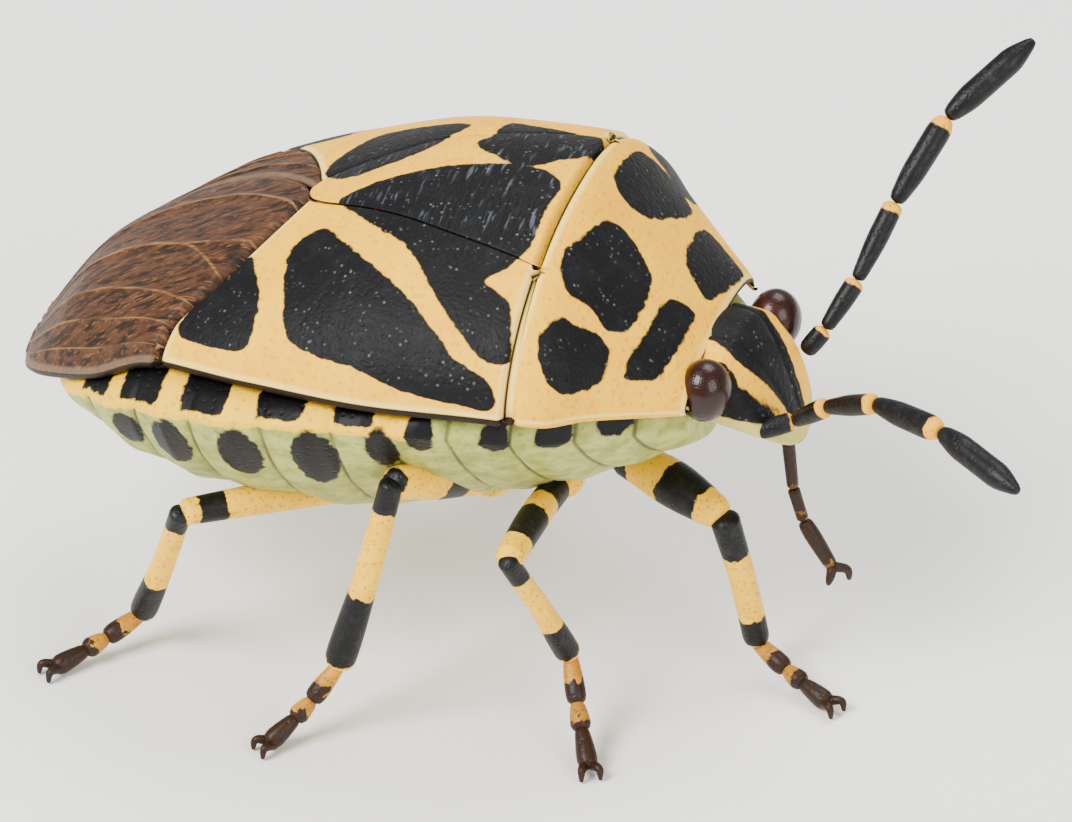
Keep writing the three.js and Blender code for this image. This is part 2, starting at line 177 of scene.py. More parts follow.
@dataclass(frozen=True)
class BodyShape:
    """Profiles of the body along x, close to the CAD part's, and the seams between its plates."""

    dome_power: float = 2.3
    dome_round: float = 0.56
    rim: float = 0.15
    gap: float = 0.03
    lip_share: float = 0.45
    lip_limit: float = 0.3
    lip_depth: float = 1.3
    tail_x: float = -5.42
    pronotum_rear_x: float = 1.6
    pronotum_front_x: float = 3.5
    scutellum_tip_x: float = -1.86
    wing_half: Profile = Profile(
        (-5.44, 0), (-5.23, 1.05), (-4.6, 1.66), (-3.2, 2.33), (-1.8, 2.76), (0, 2.98), (1.6, 2.93)
    )
    pronotum_half: Profile = Profile((1.6, 2.74), (1.75, 2.86), (2.0, 2.8), (2.45, 2.38), (3.5, 1.5))
    crest: Profile = Profile(
        (-5.44, -1.05), (-4.6, 0.1), (-3.2, 0.96), (-1.7, 1.7),
        (0, 2.26), (1.5, 2.36), (2.55, 1.6), (3.5, 0.75),
    )
    margin: Profile = Profile(
        (-5.44, -1.05), (-4.9, -0.7), (-4.05, -0.25), (-3.1, 0.35),
        (-1.8, 0.53), (0, 0.64), (1.7, 0.72), (3.5, 0.36),
    )
    belly_half: Profile = Profile(
        (-5.05, 0.1), (-4.9, 0.85), (-4.5, 1.62), (-3.4, 2.62), (-1.8, 3.08),
        (0, 3.0), (1.6, 2.62), (2.6, 2.0), (3.45, 1.35),
    )
    belly_edge: Profile = Profile(
        (-5.05, -1.1), (-3.4, -0.19), (-1.8, 0.15), (0, 0.3), (1.6, 0.2), (3.45, 0)
    )
    keel: Profile = Profile(
        (-5.05, -1.25), (-4.6, -1.6), (-3.6, -2.14), (-2.7, -2.34), (-1.1, -2.36), (0.5, -2.12),
        (1.6, -1.75), (2.6, -1.3), (3.45, -0.8),
    )
    belly_power: Profile = Profile((-0.6, 2.0), (0.4, 1.7))
    belly_round: Profile = Profile((-0.6, 0.8), (0.4, 0.95))
    scutellum_half: Profile = Profile(
        (-1.86, 0.02), (-1.72, 0.24), (-1.0, 0.62), (0, 1.06), (1.6, 1.55)
    )
    membrane_seam: Profile = Profile(
        (0, -1.72), (0.6, -1.95), (1.2, -2.25), (1.72, -2.6), (2.12, -2.95), (3.4, -3.2)
    )
    overlap_seam: Profile = Profile(
        (-5.6, 0.1), (-4.7, 0.95), (-3.8, 1.15), (-3.0, 0.95), (-2.3, 0.45), (-1.86, 0)
    )

    def half(self, x: Array) -> Array:
        """Half width of the back at x."""
        return np.where(x < self.pronotum_rear_x, self.wing_half(x), self.pronotum_half(x))

    def back(self, x: Array, angle: Array, half: Array) -> Array:
        """Points of the back's outer surface.

        Args:
            x: Places along the body.
            angle: Turn from the crest, a right angle at the margin; past it the lip curls under.
            half: Half width of the plate at each x.

        Returns:
            Points with a last axis of three.
        """
        turned = np.clip(angle, -math.pi / 2, math.pi / 2)
        share = np.sin(turned)
        rise = (1 - np.abs(share) ** self.dome_power).clip(0) ** self.dome_round
        z = self.margin(x) + (self.crest(x) - self.margin(x)) * rise
        curl = np.abs(angle) - np.abs(turned)
        lip = np.minimum(self.lip_share * self.rim, self.lip_limit * half)
        y = np.sign(angle) * (half * np.abs(share) - lip * (1 - np.cos(curl)))
        return np.stack([x + 0 * y, y, z - lip * np.sin(curl) * self.lip_depth], -1)

    def unroll(self, x: Array, y: Array) -> Array:
        """Distance over the dome from the crest to plan place y."""
        half = np.maximum(self.half(x), 0.05)
        return half * np.arcsin(np.clip(y / half, -1, 1))


BODY = BodyShape()

# Black markings of the wings and the scutellum, in plan. The near side is drawn in the photo.
NEAR_SPOTS = (
    Outline(
        (-1.33, -0.99), (-0.98, -1.3), (-0.61, -1.62), (-0.22, -1.91), (0.17, -2.18), (0.53, -2.45),
        (0.9, -2.68), (1.34, -2.79), (1.46, -2.91), (0.99, -2.93), (0.5, -2.93), (0.04, -2.9),
        (-0.43, -2.81), (-0.9, -2.71), (-1.32, -2.51), (-1.48, -2.12), (-1.61, -1.69), (-1.64, -1.23),
    ),
    Outline(
        (-2.17, -1.27), (-2.02, -1.58), (-1.87, -1.9), (-1.79, -2.21), (-1.8, -2.48), (-1.89, -2.58),
        (-2.22, -2.51), (-2.55, -2.39), (-2.83, -2.2), (-2.77, -1.93), (-2.62, -1.66), (-2.44, -1.4),
    ),
    Outline(
        (-1.31, -0.43), (-1.06, -0.72), (-0.78, -0.99), (-0.47, -1.23), (-0.14, -1.44), (0.12, -1.72),
        (0.37, -2.0), (0.63, -2.26), (0.92, -2.48), (1.24, -2.65), (1.56, -2.63), (1.5, -2.35),
        (1.38, -2.05), (1.04, -1.87), (1.25, -1.61), (1.41, -1.31), (1.42, -0.93), (1.43, -0.53),
        (1.46, -0.14), (1.21, 0.14), (0.86, 0.24), (0.47, 0.2), (0.08, 0.11), (-0.29, -0.01),
        (-0.65, -0.11), (-1.01, -0.22),
    ),
)
FAR_SPOTS = (
    Outline(
        (-1.77, 0.42), (-1.73, 0.78), (-1.59, 1.12), (-1.39, 1.41), (-1.05, 1.49), (-0.71, 1.49),
        (-0.36, 1.5), (-0.17, 1.32), (-0.32, 0.99), (-0.4, 0.65), (-0.64, 0.39), (-0.94, 0.22),
        (-1.26, 0.1), (-1.57, 0.15),
    ),
    Outline(
        (0.28, 1.63), (0.21, 1.34), (0.21, 1.04), (0.1, 0.74), (0.21, 0.56), (0.45, 0.41),
        (0.71, 0.23), (1.02, 0.25), (1.25, 0.45), (1.51, 0.63), (1.61, 0.9), (1.66, 1.21),
        (1.52, 1.38), (1.21, 1.44), (0.9, 1.51), (0.59, 1.57),
    ),
    Outline(
        (-1.15, 1.98), (-0.6, 1.98), (0, 2.15), (0.53, 2.45), (0.9, 2.68), (1.34, 2.79),
        (0.99, 2.93), (0.5, 2.93), (0.04, 2.9), (-0.43, 2.81), (-0.9, 2.71), (-1.32, 2.51), (-1.45, 2.2),
    ),
    Outline(
        (-1.95, 1.75), (-1.79, 2.21), (-1.8, 2.48), (-2.22, 2.51), (-2.55, 2.39), (-2.83, 2.2),
        (-2.77, 1.93), (-2.5, 1.72),
    ),
)
PRONOTUM_OUTER_SPOT = Outline(
    (2.04, -1.91), (2.22, -1.85), (2.39, -1.71), (2.56, -1.74), (2.59, -1.93), (2.52, -2.15),
    (2.36, -2.35), (2.2, -2.53), (2.03, -2.58), (1.91, -2.48), (1.84, -2.34), (1.9, -2.12),
)
PRONOTUM_SPOTS = (
    PRONOTUM_OUTER_SPOT,
    PRONOTUM_OUTER_SPOT.mirrored(),
    Outline(
        (1.88, 0.71), (1.88, 1.1), (1.89, 1.48), (1.95, 1.72), (2.2, 1.8), (2.5, 1.7),
        (2.66, 1.5), (2.68, 1.3), (2.62, 1.02), (2.49, 0.69), (2.31, 0.43), (2.03, 0.44),
    ),
    Outline(
        (2.08, -0.16), (2.3, -0.06), (2.53, -0.2), (2.71, -0.42), (2.76, -0.75), (2.74, -1.08),
        (2.66, -1.41), (2.47, -1.58), (2.25, -1.52), (2.01, -1.62), (1.86, -1.43), (1.8, -1.13),
        (1.9, -0.81), (1.97, -0.47),
    ),
    Outline(
        (3.42, 1.2), (3.42, 0.92), (3.4, 0.62), (3.35, 0.35), (3.28, 0.09), (3.11, 0.16),
        (2.93, 0.33), (2.85, 0.64), (2.83, 0.96), (2.84, 1.27), (2.94, 1.4), (3.18, 1.34),
    ),
    Outline(
        (3.0, -0.38), (3.22, -0.3), (3.24, -0.6), (3.23, -0.91), (3.19, -1.23), (3.14, -1.5),
        (2.99, -1.68), (2.79, -1.84), (2.79, -1.59), (2.85, -1.29), (2.88, -0.98), (2.9, -0.66),
    ),
)


# ---------------------------------------------------------------- meshes


HEAD_PIVOT = np.array((3.5, 0.0, 0.32))
HEAD_TURN = -0.13
HEAD_ROLL = -0.11


def head_pose(points: Array) -> Array:
    """Head points rolled, and turned a little to the bug's right, as the CAD part has them."""
    turned = Matrix.Rotation(HEAD_TURN, 3, "Z") @ Matrix.Rotation(HEAD_ROLL, 3, "X")
    return (np.asarray(points, float) - HEAD_PIVOT) @ np.array(turned).T + HEAD_PIVOT


EYE_CENTRES = {side: np.array((3.8, 1.08 * side.value, 0.32)) for side in Side}


class Placer:
    """Moves body millimetres into the row frame, from where the CAD part has its left eye."""

    def __init__(self) -> None:
        """Reads the eye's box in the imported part."""
        low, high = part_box("eye_left")
        self.shift = np.array((low + high) / 2) / MM - head_pose(EYE_CENTRES[Side.LEFT])

    def row(self, points: Array) -> Array:
        """Points in the row frame, in metres."""
        return (np.asarray(points, float) + self.shift) * MM


def spread(count: int, tight: float = 0.6) -> Array:
    """Places from 0 to 1, closer together near both ends."""
    even = np.linspace(0, 1, count)
    return (1 - tight) * even + tight * (1 - np.cos(math.pi * even)) / 2


def arc(points: Array, axis: int) -> Array:
    """Distance run along one axis of a grid of points."""
    steps = np.linalg.norm(np.diff(points, axis=axis), axis=-1)
    start = np.zeros_like(np.take(steps, [0], axis=axis))
    return np.concatenate([start, np.cumsum(steps, axis=axis)], axis=axis)


def normals(points: Array) -> Array:
    """Unit normals of a grid of points, turned away from the body's inside."""
    normal = np.cross(np.gradient(points, axis=0), np.gradient(points, axis=1))
    normal /= np.linalg.norm(normal, axis=-1, keepdims=True).clip(1e-12)
    return normal if normal[..., 2].mean() > 0 else -normal


def quads(rows: int, columns: int, wrap: bool = False, start: int = 0) -> list[tuple[int, ...]]:
    """Faces of a grid of vertices, row by row."""
    last = columns if wrap else columns - 1
    return [
        (start + i * columns + j, start + i * columns + (j + 1) % columns,
         start + (i + 1) * columns + (j + 1) % columns, start + (i + 1) * columns + j)
        for i in range(rows - 1)
        for j in range(last)
    ]


def closed(rows: int, columns: int) -> list[tuple[int, ...]]:
    """Faces of a grid that wraps round, with a flat face on its first row and on its last."""
    last = range((rows - 1) * columns, rows * columns)
    return quads(rows, columns, wrap=True) + [tuple(reversed(range(columns))), tuple(last)]


def flipped(faces: list[tuple[int, ...]]) -> list[tuple[int, ...]]:
    """The same faces, seen from their other side."""
    return [tuple(reversed(face)) for face in faces]


def soft(share: Array) -> Array:
    """Soft step of shares between 0 and 1."""
    return share * share * (3 - 2 * share)


@dataclass
class Piece:
    """A mesh in body millimetres, with measured values at its vertices for the finish to read."""

    name: str
    points: Array
    faces: list[tuple[int, ...]]
    values: dict[str, Array]


def merged(parts: list[Piece]) -> Piece:
    """Several pieces as one, under the first one's name."""
    starts = np.cumsum([0] + [len(part.points) for part in parts])
    faces = []
    for start, part in zip(starts.tolist(), parts):
        faces += [tuple(i + start for i in face) for face in part.faces]
    values = {key: np.concatenate([part.values[key] for part in parts]) for key in parts[0].values}
    return Piece(parts[0].name, np.concatenate([part.points for part in parts]), faces, values)


def plate(name: str, outer: Array, thick: Array | float, values: dict[str, Array]) -> Piece:
    """Closed plate: an outer grid, an inner one below it, and a strip round the edge.

    Args:
        name: The piece's name.
        outer: Grid of outer points.
        thick: Thickness in millimetres, for all, for each column or for each point.
        values: One value for each outer point, by name.

    Returns:
        The piece, with the outer values on the inner points too.
    """
    rows, columns = outer.shape[:2]
    inner = outer - normals(outer) * np.broadcast_to(thick, (rows, columns))[..., None]
    size = rows * columns
    faces = quads(rows, columns) + flipped(quads(rows, columns, start=size))
    edge = list(range(columns))
    edge += [i * columns + columns - 1 for i in range(1, rows)]
    edge += [(rows - 1) * columns + j for j in range(columns - 2, -1, -1)]
    edge += [i * columns for i in range(rows - 2, 0, -1)]
    for a, b in zip(edge, edge[1:] + edge[:1]):
        faces.append((b, a, a + size, b + size))
    points = np.concatenate([outer.reshape(-1, 3), inner.reshape(-1, 3)])
    doubled = {key: np.tile(value.ravel(), 2) for key, value in values.items()}
    return Piece(name, points, faces, doubled)


def tube(name: str, path: Array, radii: Array, sides: int = 28) -> tuple[Piece, Array]:
    """Closed tube along a path.

    Args:
        name: The piece's name.
        path: Points of its middle line.
        radii: Radius at each point.
        sides: Vertices in each ring.

    Returns:
        The piece with no values yet, and the way run along the path at each vertex, in millimetres.
    """
    direction = np.gradient(path, axis=0)
    direction /= np.linalg.norm(direction, axis=1, keepdims=True)
    side = np.cross((0, 0, 1), path[-1] - path[0])
    side = side / np.linalg.norm(side)
    across = side - (direction @ side)[:, None] * direction
    across /= np.linalg.norm(across, axis=1, keepdims=True)
    over = np.cross(direction, across)
    turn = np.linspace(0, 2 * math.pi, sides, endpoint=False)
    ring = np.cos(turn)[None, :, None] * across[:, None] + np.sin(turn)[None, :, None] * over[:, None]
    points = (path[:, None] + radii[:, None, None] * ring).reshape(-1, 3)
    run = np.repeat(arc(path, 0), sides)
    return Piece(name, points, flipped(closed(len(path), sides)), {}), run


BLUNT = 0.6  # depth of a limb's end cap, as a share of its radius
CAP_RINGS = 8
BEND_STEPS = 24


def capped(length: float, radii: Profile, rings: int = 40) -> tuple[Array, Array]:
    """Places from 0 to 1 along a limb, and the radius at each, with round ends.

    Args:
        length: The limb's length in millimetres.
        radii: Radius against share of the length.
        rings: Rings between the two caps.

    Returns:
        The places and the radii.
    """
    first, last = float(radii(0)), float(radii(1))
    turn = np.linspace(0.04, 1, CAP_RINGS) * math.pi / 2
    head = BLUNT * first / length * (1 - np.cos(turn))
    tail = 1 - BLUNT * last / length * (1 - np.cos(turn[::-1]))
    middle = np.linspace(head[-1], tail[0], rings)[1:-1]
    places = np.concatenate([head, middle, tail])
    sizes = np.concatenate([first * np.sin(turn), radii(middle), last * np.sin(turn[::-1])])
    return places, sizes


def bend(joints: list[Point] | Array, places: Array) -> Array:
    """Points at shares of the length of a smooth line through a few joints."""
    p = np.asarray(joints, float)
    if len(p) == 2:
        return p[0] + places[:, None] * (p[1] - p[0])
    ends = np.vstack([2 * p[0] - p[1], p, 2 * p[-1] - p[-2]])
    fine = []
    for a, b, c, d in zip(ends, ends[1:], ends[2:], ends[3:]):
        t = np.linspace(0, 1, BEND_STEPS)[:, None]
        curve = 2 * b + (c - a) * t + (2 * a - 5 * b + 4 * c - d) * t**2 + (3 * b - a - 3 * c + d) * t**3
        fine.append(0.5 * curve)
    line = np.concatenate(fine)
    run = arc(line, 0)
    return np.stack([np.interp(places * run[-1], run, line[:, k]) for k in range(3)], 1)


# ---------------------------------------------------------------- finishes


def srgb(code: str) -> tuple[float, float, float, float]:
    """Linear colour from an sRGB hex code."""
    channels = [int(code[i : i + 2], 16) / 255 for i in (1, 3, 5)]
    linear = [c / 12.92 if c <= 0.04045 else ((c + 0.055) / 1.055) ** 2.4 for c in channels]
    return (*linear, 1.0)


@dataclass(frozen=True)
class Cloud:
    """Soft patches: size in millimetres, the noise where they start and are full, and their share."""

    size: float
    start: float
    full: float
    share: float = 1.0


class Tree:
    """The node tree of one material. Its textures run in millimetres of the part."""

    def __init__(self, name: str) -> None:
        """Starts an empty tree with the part's own millimetres ready."""
        self.material = bpy.data.materials.new(name)
        self.material.use_nodes = True
        self.nodes = self.material.node_tree.nodes
        self.links = self.material.node_tree.links
        self.nodes.clear()
        place = self.add("ShaderNodeTexCoord").outputs["Object"]
        scaled = self.add("ShaderNodeVectorMath", {0: place, 3: 1 / MM}, operation="SCALE")
        self.mm = scaled.outputs[0]

    def add(self, kind: str, inputs: dict | None = None, **settings: object) -> bpy.types.Node:
        """Adds a node; an input is a plain value or another node's output."""
        node = self.nodes.new(kind)
        for key, value in settings.items():
            setattr(node, key, value)
        for key, value in (inputs or {}).items():
            if isinstance(value, bpy.types.NodeSocket):
                self.links.new(value, node.inputs[key])
            else:
                node.inputs[key].default_value = value
        return node

    def value(self, name: str) -> Socket:
        """A value measured at the vertices."""
        return self.add("ShaderNodeAttribute", attribute_name=name).outputs["Fac"]

    def math(self, operation: str, first: object, second: object) -> Socket:
        """Arithmetic on two values."""
        return self.add("ShaderNodeMath", {0: first, 1: second}, operation=operation).outputs[0]

    def times(self, first: object, second: object) -> Socket:
        """Product of two values."""
        return self.math("MULTIPLY", first, second)

    def plus(self, first: object, second: object) -> Socket:
        """Sum of two values."""
        return self.math("ADD", first, second)

    def minus(self, first: object, second: object) -> Socket:
        """Difference of two values."""
        return self.math("SUBTRACT", first, second)

    def step(self, value: object, low: float, high: float) -> Socket:
        """Soft step: 0 at low, 1 at high; low may be above high."""
        inputs = {"Value": value, "From Min": low, "From Max": high}
        return self.add("ShaderNodeMapRange", inputs, interpolation_type="SMOOTHSTEP").outputs["Result"]

    def mix(self, share: object, first: object, second: object) -> Socket:
        """Colour between first and second."""
        return self.add("ShaderNodeMix", {0: share, 6: first, 7: second}, data_type="RGBA").outputs[2]

    def noise(self, size: float, detail: float = 3.0, place: object = None) -> Socket:
        """Soft noise with features about size millimetres across."""
        inputs = {"Vector": place or self.mm, "Scale": 1 / size, "Detail": detail}
        return self.add("ShaderNodeTexNoise", inputs).outputs["Fac"]

    def cloud(self, cloud: Cloud, place: object = None) -> Socket:
        """Soft patches, from 0 between them to their share inside them."""
        patches = self.step(self.noise(cloud.size, place=place), cloud.start, cloud.full)
        return self.times(patches, cloud.share)

    def sway(self, size: float, depth: float, detail: float = 3.0) -> Socket:
        """Noise that swings to both sides of zero, with depth millimetres from end to end."""
        return self.times(self.minus(self.noise(size, detail), 0.5), depth)

    def pits(self, spacing: float, width: float) -> Socket:
        """Small round pits: 1 in the middle of each, 0 between them."""
        inputs = {"Vector": self.mm, "Scale": 1 / spacing, "Randomness": 0.8}
        distance = self.add("ShaderNodeTexVoronoi", inputs).outputs["Distance"]
        return self.step(distance, width / spacing, 0.3 * width / spacing)

    def stretched(self, along: Point) -> Socket:
        """The part's millimetres, multiplied by a factor on each axis."""
        node = self.add("ShaderNodeVectorMath", {0: self.mm, 1: along}, operation="MULTIPLY")
        return node.outputs[0]

    def finish(
        self, colour: object, rough: object, height: object, relief: float, specular: float,
        coat: dict[str, float] | None = None,
    ) -> bpy.types.Material:
        """Closes the tree with a surface that has a raised grain and an IOR of 1.5.

        Args:
            colour: Colour of the surface.
            rough: Its roughness.
            height: Height of the grain, from 0 to 1.
            relief: Depth of the grain in millimetres.
            specular: How much of the mirrored light it keeps; 0.5 is all of it.
            coat: Inputs of a clear coat, by name.

        Returns:
            The finished material.
        """
        bump = self.add("ShaderNodeBump", {"Height": height, "Distance": relief * MM, "Strength": 1.0})
        inputs = {"Base Color": colour, "Roughness": rough, "Normal": bump.outputs[0]}
        inputs |= {"IOR": 1.5, "Specular IOR Level": specular} | (coat or {})
        shader = self.add("ShaderNodeBsdfPrincipled", inputs)
        out = self.add("ShaderNodeOutputMaterial")
        self.links.new(shader.outputs[0], out.inputs[0])
        return self.material


@dataclass(frozen=True)
class ShellFinish:
    """Hard, pitted shell: yellow with black markings, a pale rim that is partly painted edge highlight,
    and a dark edge. Lengths are in mm.
    """

    name: str
    yellow: str = "#ffc000"
    deep_yellow: str = "#f5a600"
    pale: str = "#ffdf70"
    pit_brown: str = "#a05c00"
    edge_brown: str = "#1d1006"
    black: str = "#070708"
    grey: str = "#17191c"
    glint: str = "#8e8e84"
    ridge_blue: str = "#8b93a0"
    underside: str = "#cdbc62"
    pit_spacing: float = 0.11
    pit_width: float = 0.045
    ragged_size: float = 0.13
    ragged_depth: float = 0.09
    blur: float = 0.015
    under_blur: float = 0.02
    pale_rim: tuple[float, float] = (0.14, 0.07)
    dark_rim: tuple[float, float] = (0.045, 0.025)
    orange_cloud: Cloud = Cloud(0.5, 0.3, 0.7, 0.6)
    grey_cloud: Cloud = Cloud(0.3, 0.45, 0.75, 0.5)
    fleck_cloud: Cloud = Cloud(0.2, 0.48, 0.66)
    fleck_spacing: float = 0.08
    fleck_width: float = 0.026
    pit_share: float = 0.25
    rim_share: float = 0.85
    fleck_share: float = 0.4
    ridge_share: float = 0.22
    grain: float = 0.05
    relief: float = 0.009
    wrinkle: float = 0.0
    ridge_stretch: Point = (1.0, 0.14, 0.14)
    rough: float = 0.46
    rough_sway: float = 0.2
    specular: float = 0.18
    has_underside: bool = False

    def material(self) -> bpy.types.Material:
        """Builds the finish: chitin, IOR about 1.5, its gloss held down by a fine grain."""
        t = Tree(self.name)
        # Ragged outlines keep the markings from looking printed.
        ragged = t.plus(t.value("spot"), t.sway(self.ragged_size, self.ragged_depth))
        is_black = t.step(ragged, self.blur, -self.blur)
        # Cloudy orange and brown pits break up the plain yellow.
        pits = t.pits(self.pit_spacing, self.pit_width)
        yellow = t.mix(t.cloud(self.orange_cloud), srgb(self.yellow), srgb(self.deep_yellow))
        yellow = t.mix(t.times(pits, self.pit_share), yellow, srgb(self.pit_brown))
        # The pale band inside each plate's edge is partly the shell's own pale margin and partly a
        # painted edge highlight.
        rim = t.step(t.value("rim"), *self.pale_rim)
        yellow = t.mix(t.times(rim, self.rim_share), yellow, srgb(self.pale))
        # Small pale flecks are the light caught by single pits in the black.
        dark = t.mix(t.cloud(self.grey_cloud), srgb(self.black), srgb(self.grey))
        flecks = t.times(t.pits(self.fleck_spacing, self.fleck_width), t.cloud(self.fleck_cloud))
        dark = t.mix(t.times(flecks, self.fleck_share), dark, srgb(self.glint))
        height = t.minus(t.times(t.noise(self.grain), 1.4), t.times(pits, 0.5))
        if self.wrinkle:
            # Folds across the scutellum, each with a thin bluish light along its top.
            ridges = t.noise(self.wrinkle, 2.0, t.stretched(self.ridge_stretch))
            height = t.plus(height, t.times(ridges, 2.0))
            lit = t.times(t.step(ridges, 0.6, 0.74), self.ridge_share)
            dark = t.mix(lit, dark, srgb(self.ridge_blue))
        colour = t.mix(is_black, yellow, dark)
        if self.has_underside:
            below = t.step(t.value("under"), -self.under_blur, self.under_blur)
            colour = t.mix(below, colour, srgb(self.underside))
        colour = t.mix(t.step(t.value("rim"), *self.dark_rim), colour, srgb(self.edge_brown))
        rough = t.plus(self.rough, t.times(t.noise(self.fleck_cloud.size), self.rough_sway))
        return t.finish(colour, rough, height, self.relief, self.specular)


@dataclass(frozen=True)
class MembraneFinish:
    """Thin brown wing membrane with raised pale veins. Lengths are in mm."""

    name: str
    brown: str = "#4d2f1a"
    dark: str = "#1e120a"
    light: str = "#86552c"
    vein: str = "#a5753c"
    pale: str = "#84694f"
    edge_brown: str = "#1b120b"
    streak_stretch: Point = (0.06, 1.0, 0.5)
    streak_width: float = 0.09
    fine_width: float = 0.035
    vein_breaks: Cloud = Cloud(0.3, 0.32, 0.52)
    vein_width: tuple[float, float] = (0.022, 0.004)
    pale_rim: tuple[float, float] = (0.1, 0.05)
    dark_rim: tuple[float, float] = (0.03, 0.012)
    light_share: float = 0.6
    vein_share: float = 0.6
    rim_share: float = 0.5
    relief: float = 0.018
    rough: float = 0.52
    specular: float = 0.22

    def material(self) -> bpy.types.Material:
        """Builds the finish: smoky leathery film, IOR about 1.5, with a dull gloss."""
        t = Tree(self.name)
        # Streaks along the wing give the film its grain; the veins break off and start again.
        along = t.stretched(self.streak_stretch)
        streak, fine = t.noise(self.streak_width, 4.0, along), t.noise(self.fine_width, 3.0, along)
        brown = t.mix(t.step(streak, 0.36, 0.62), srgb(self.dark), srgb(self.brown))
        brown = t.mix(t.times(t.step(fine, 0.54, 0.7), self.light_share), brown, srgb(self.light))
        vein = t.step(t.value("vein"), *self.vein_width)
        broken = t.times(vein, t.cloud(self.vein_breaks, along))
        colour = t.mix(t.times(broken, self.vein_share), brown, srgb(self.vein))
        rim = t.step(t.value("rim"), *self.pale_rim)
        colour = t.mix(t.times(rim, self.rim_share), colour, srgb(self.pale))
        colour = t.mix(t.step(t.value("rim"), *self.dark_rim), colour, srgb(self.edge_brown))
        height = t.plus(t.times(streak, 0.8), t.times(fine, 0.5))
        return t.finish(colour, self.rough, height, self.relief, self.specular)


@dataclass(frozen=True)
class UndersideFinish:
    """Green underside with black ovals; its border is yellow with black squares. Lengths are in mm."""

    name: str
    green: str = "#b3b560"
    deep: str = "#8f9440"
    suture_brown: str = "#38351c"
    pit_olive: str = "#5c5a2e"
    yellow: str = "#ffc600"
    black: str = "#070708"
    ragged_size: float = 0.13
    ragged_depth: float = 0.12
    pit_spacing: float = 0.11
    pit_width: float = 0.04
    deep_cloud: Cloud = Cloud(0.25, 0.3, 0.7)
    suture_width: tuple[float, float] = (0.035, 0.01)
    suture_share: float = 0.8
    pit_share: float = 0.3
    border_blur: float = 0.02
    spot_blur: float = 0.018
    grain: float = 0.08
    relief: float = 0.012
    rough: float = 0.52
    specular: float = 0.2

    def material(self) -> bpy.types.Material:
        """Builds the finish: finely pitted soft shell, IOR about 1.5, nearly matt."""
        t = Tree(self.name)
        wave = t.sway(self.ragged_size, self.ragged_depth)
        pits = t.pits(self.pit_spacing, self.pit_width)
        # Two greens in clouds read as soft skin, and the dark sutures part its rings.
        green = t.mix(t.cloud(self.deep_cloud), srgb(self.green), srgb(self.deep))
        suture = t.times(t.step(t.value("suture"), *self.suture_width), self.suture_share)
        colour = t.mix(suture, green, srgb(self.suture_brown))
        in_border = t.step(t.plus(t.value("border"), wave), -self.border_blur, self.border_blur)
        colour = t.mix(in_border, colour, srgb(self.yellow))
        colour = t.mix(t.times(pits, self.pit_share), colour, srgb(self.pit_olive))
        in_spot = t.step(t.plus(t.value("spot"), wave), self.spot_blur, -self.spot_blur)
        colour = t.mix(in_spot, colour, srgb(self.black))
        height = t.minus(t.times(t.noise(self.grain), 0.5), t.times(pits, 0.6))
        return t.finish(colour, self.rough, height, self.relief, self.specular)


@dataclass(frozen=True)
class LimbFinish:
    """Limb in two colours, parted by the measured bands, with a fine grain. Lengths are in mm."""

    name: str
    light: str
    dark: str
    ragged: float = 0.16
    rough: float = 0.44
    orange: str = "#f0a400"
    grey: str = "#1c1e22"
    pit_brown: str = "#1c120a"
    ragged_size: float = 0.14
    blur: float = 0.012
    pit_spacing: float = 0.07
    pit_width: float = 0.028
    pit_share: float = 0.4
    orange_cloud: Cloud = Cloud(0.3, 0.35, 0.75, 0.5)
    grey_cloud: Cloud = Cloud(0.15, 0.5, 0.75)
    grain: float = 0.05
    relief: float = 0.008
    specular: float = 0.22

    def material(self) -> bpy.types.Material:
        """Builds the finish: smooth chitin with fine pits, IOR about 1.5, slightly glossy."""
        t = Tree(self.name)
        wave = t.sway(self.ragged_size, 2 * self.ragged, 4.0)
        band = t.step(t.plus(t.value("spot"), wave), self.blur, -self.blur)
        pits = t.pits(self.pit_spacing, self.pit_width)
        # The orange cast and the brown pits keep the light colour from looking like plastic.
        light = t.mix(t.cloud(self.orange_cloud), srgb(self.light), srgb(self.orange))
        dark = t.mix(t.cloud(self.grey_cloud), srgb(self.dark), srgb(self.grey))
        colour = t.mix(band, light, dark)
        colour = t.mix(t.times(pits, self.pit_share), colour, srgb(self.pit_brown))
        height = t.minus(t.times(t.noise(self.grain), 0.5), t.times(pits, 0.6))
        return t.finish(colour, self.rough, height, self.relief, self.specular)


@dataclass(frozen=True)
class EyeFinish:
    """Compound eye: fine facets under a thin clear gloss, dark red-brown. Lengths are in mm."""

    name: str
    dark: str = "#260f0a"
    rim: str = "#34170f"
    rim_width: tuple[float, float] = (0.1, 0.04)
    facet: float = 0.03  # coarser than in life, so that a facet isn't lost below a pixel
    relief: float = 0.004
    rough: float = 0.25
    specular: float = 0.2
    coat: float = 0.22
    coat_rough: float = 0.06

    def material(self) -> bpy.types.Material:
        """Builds the finish: the coat gives the sharp window of light that makes an eye look wet."""
        t = Tree(self.name)
        cells = {"Vector": t.mm, "Scale": 1 / self.facet, "Randomness": 0.15}
        facets = t.add("ShaderNodeTexVoronoi", cells).outputs["Distance"]
        colour = t.mix(t.step(t.value("rim"), *self.rim_width), srgb(self.dark), srgb(self.rim))
        coat = {"Coat Weight": self.coat, "Coat Roughness": self.coat_rough}
        return t.finish(colour, self.rough, t.minus(1.0, facets), self.relief, self.specular, coat)


# ---------------------------------------------------------------- parts of the bug


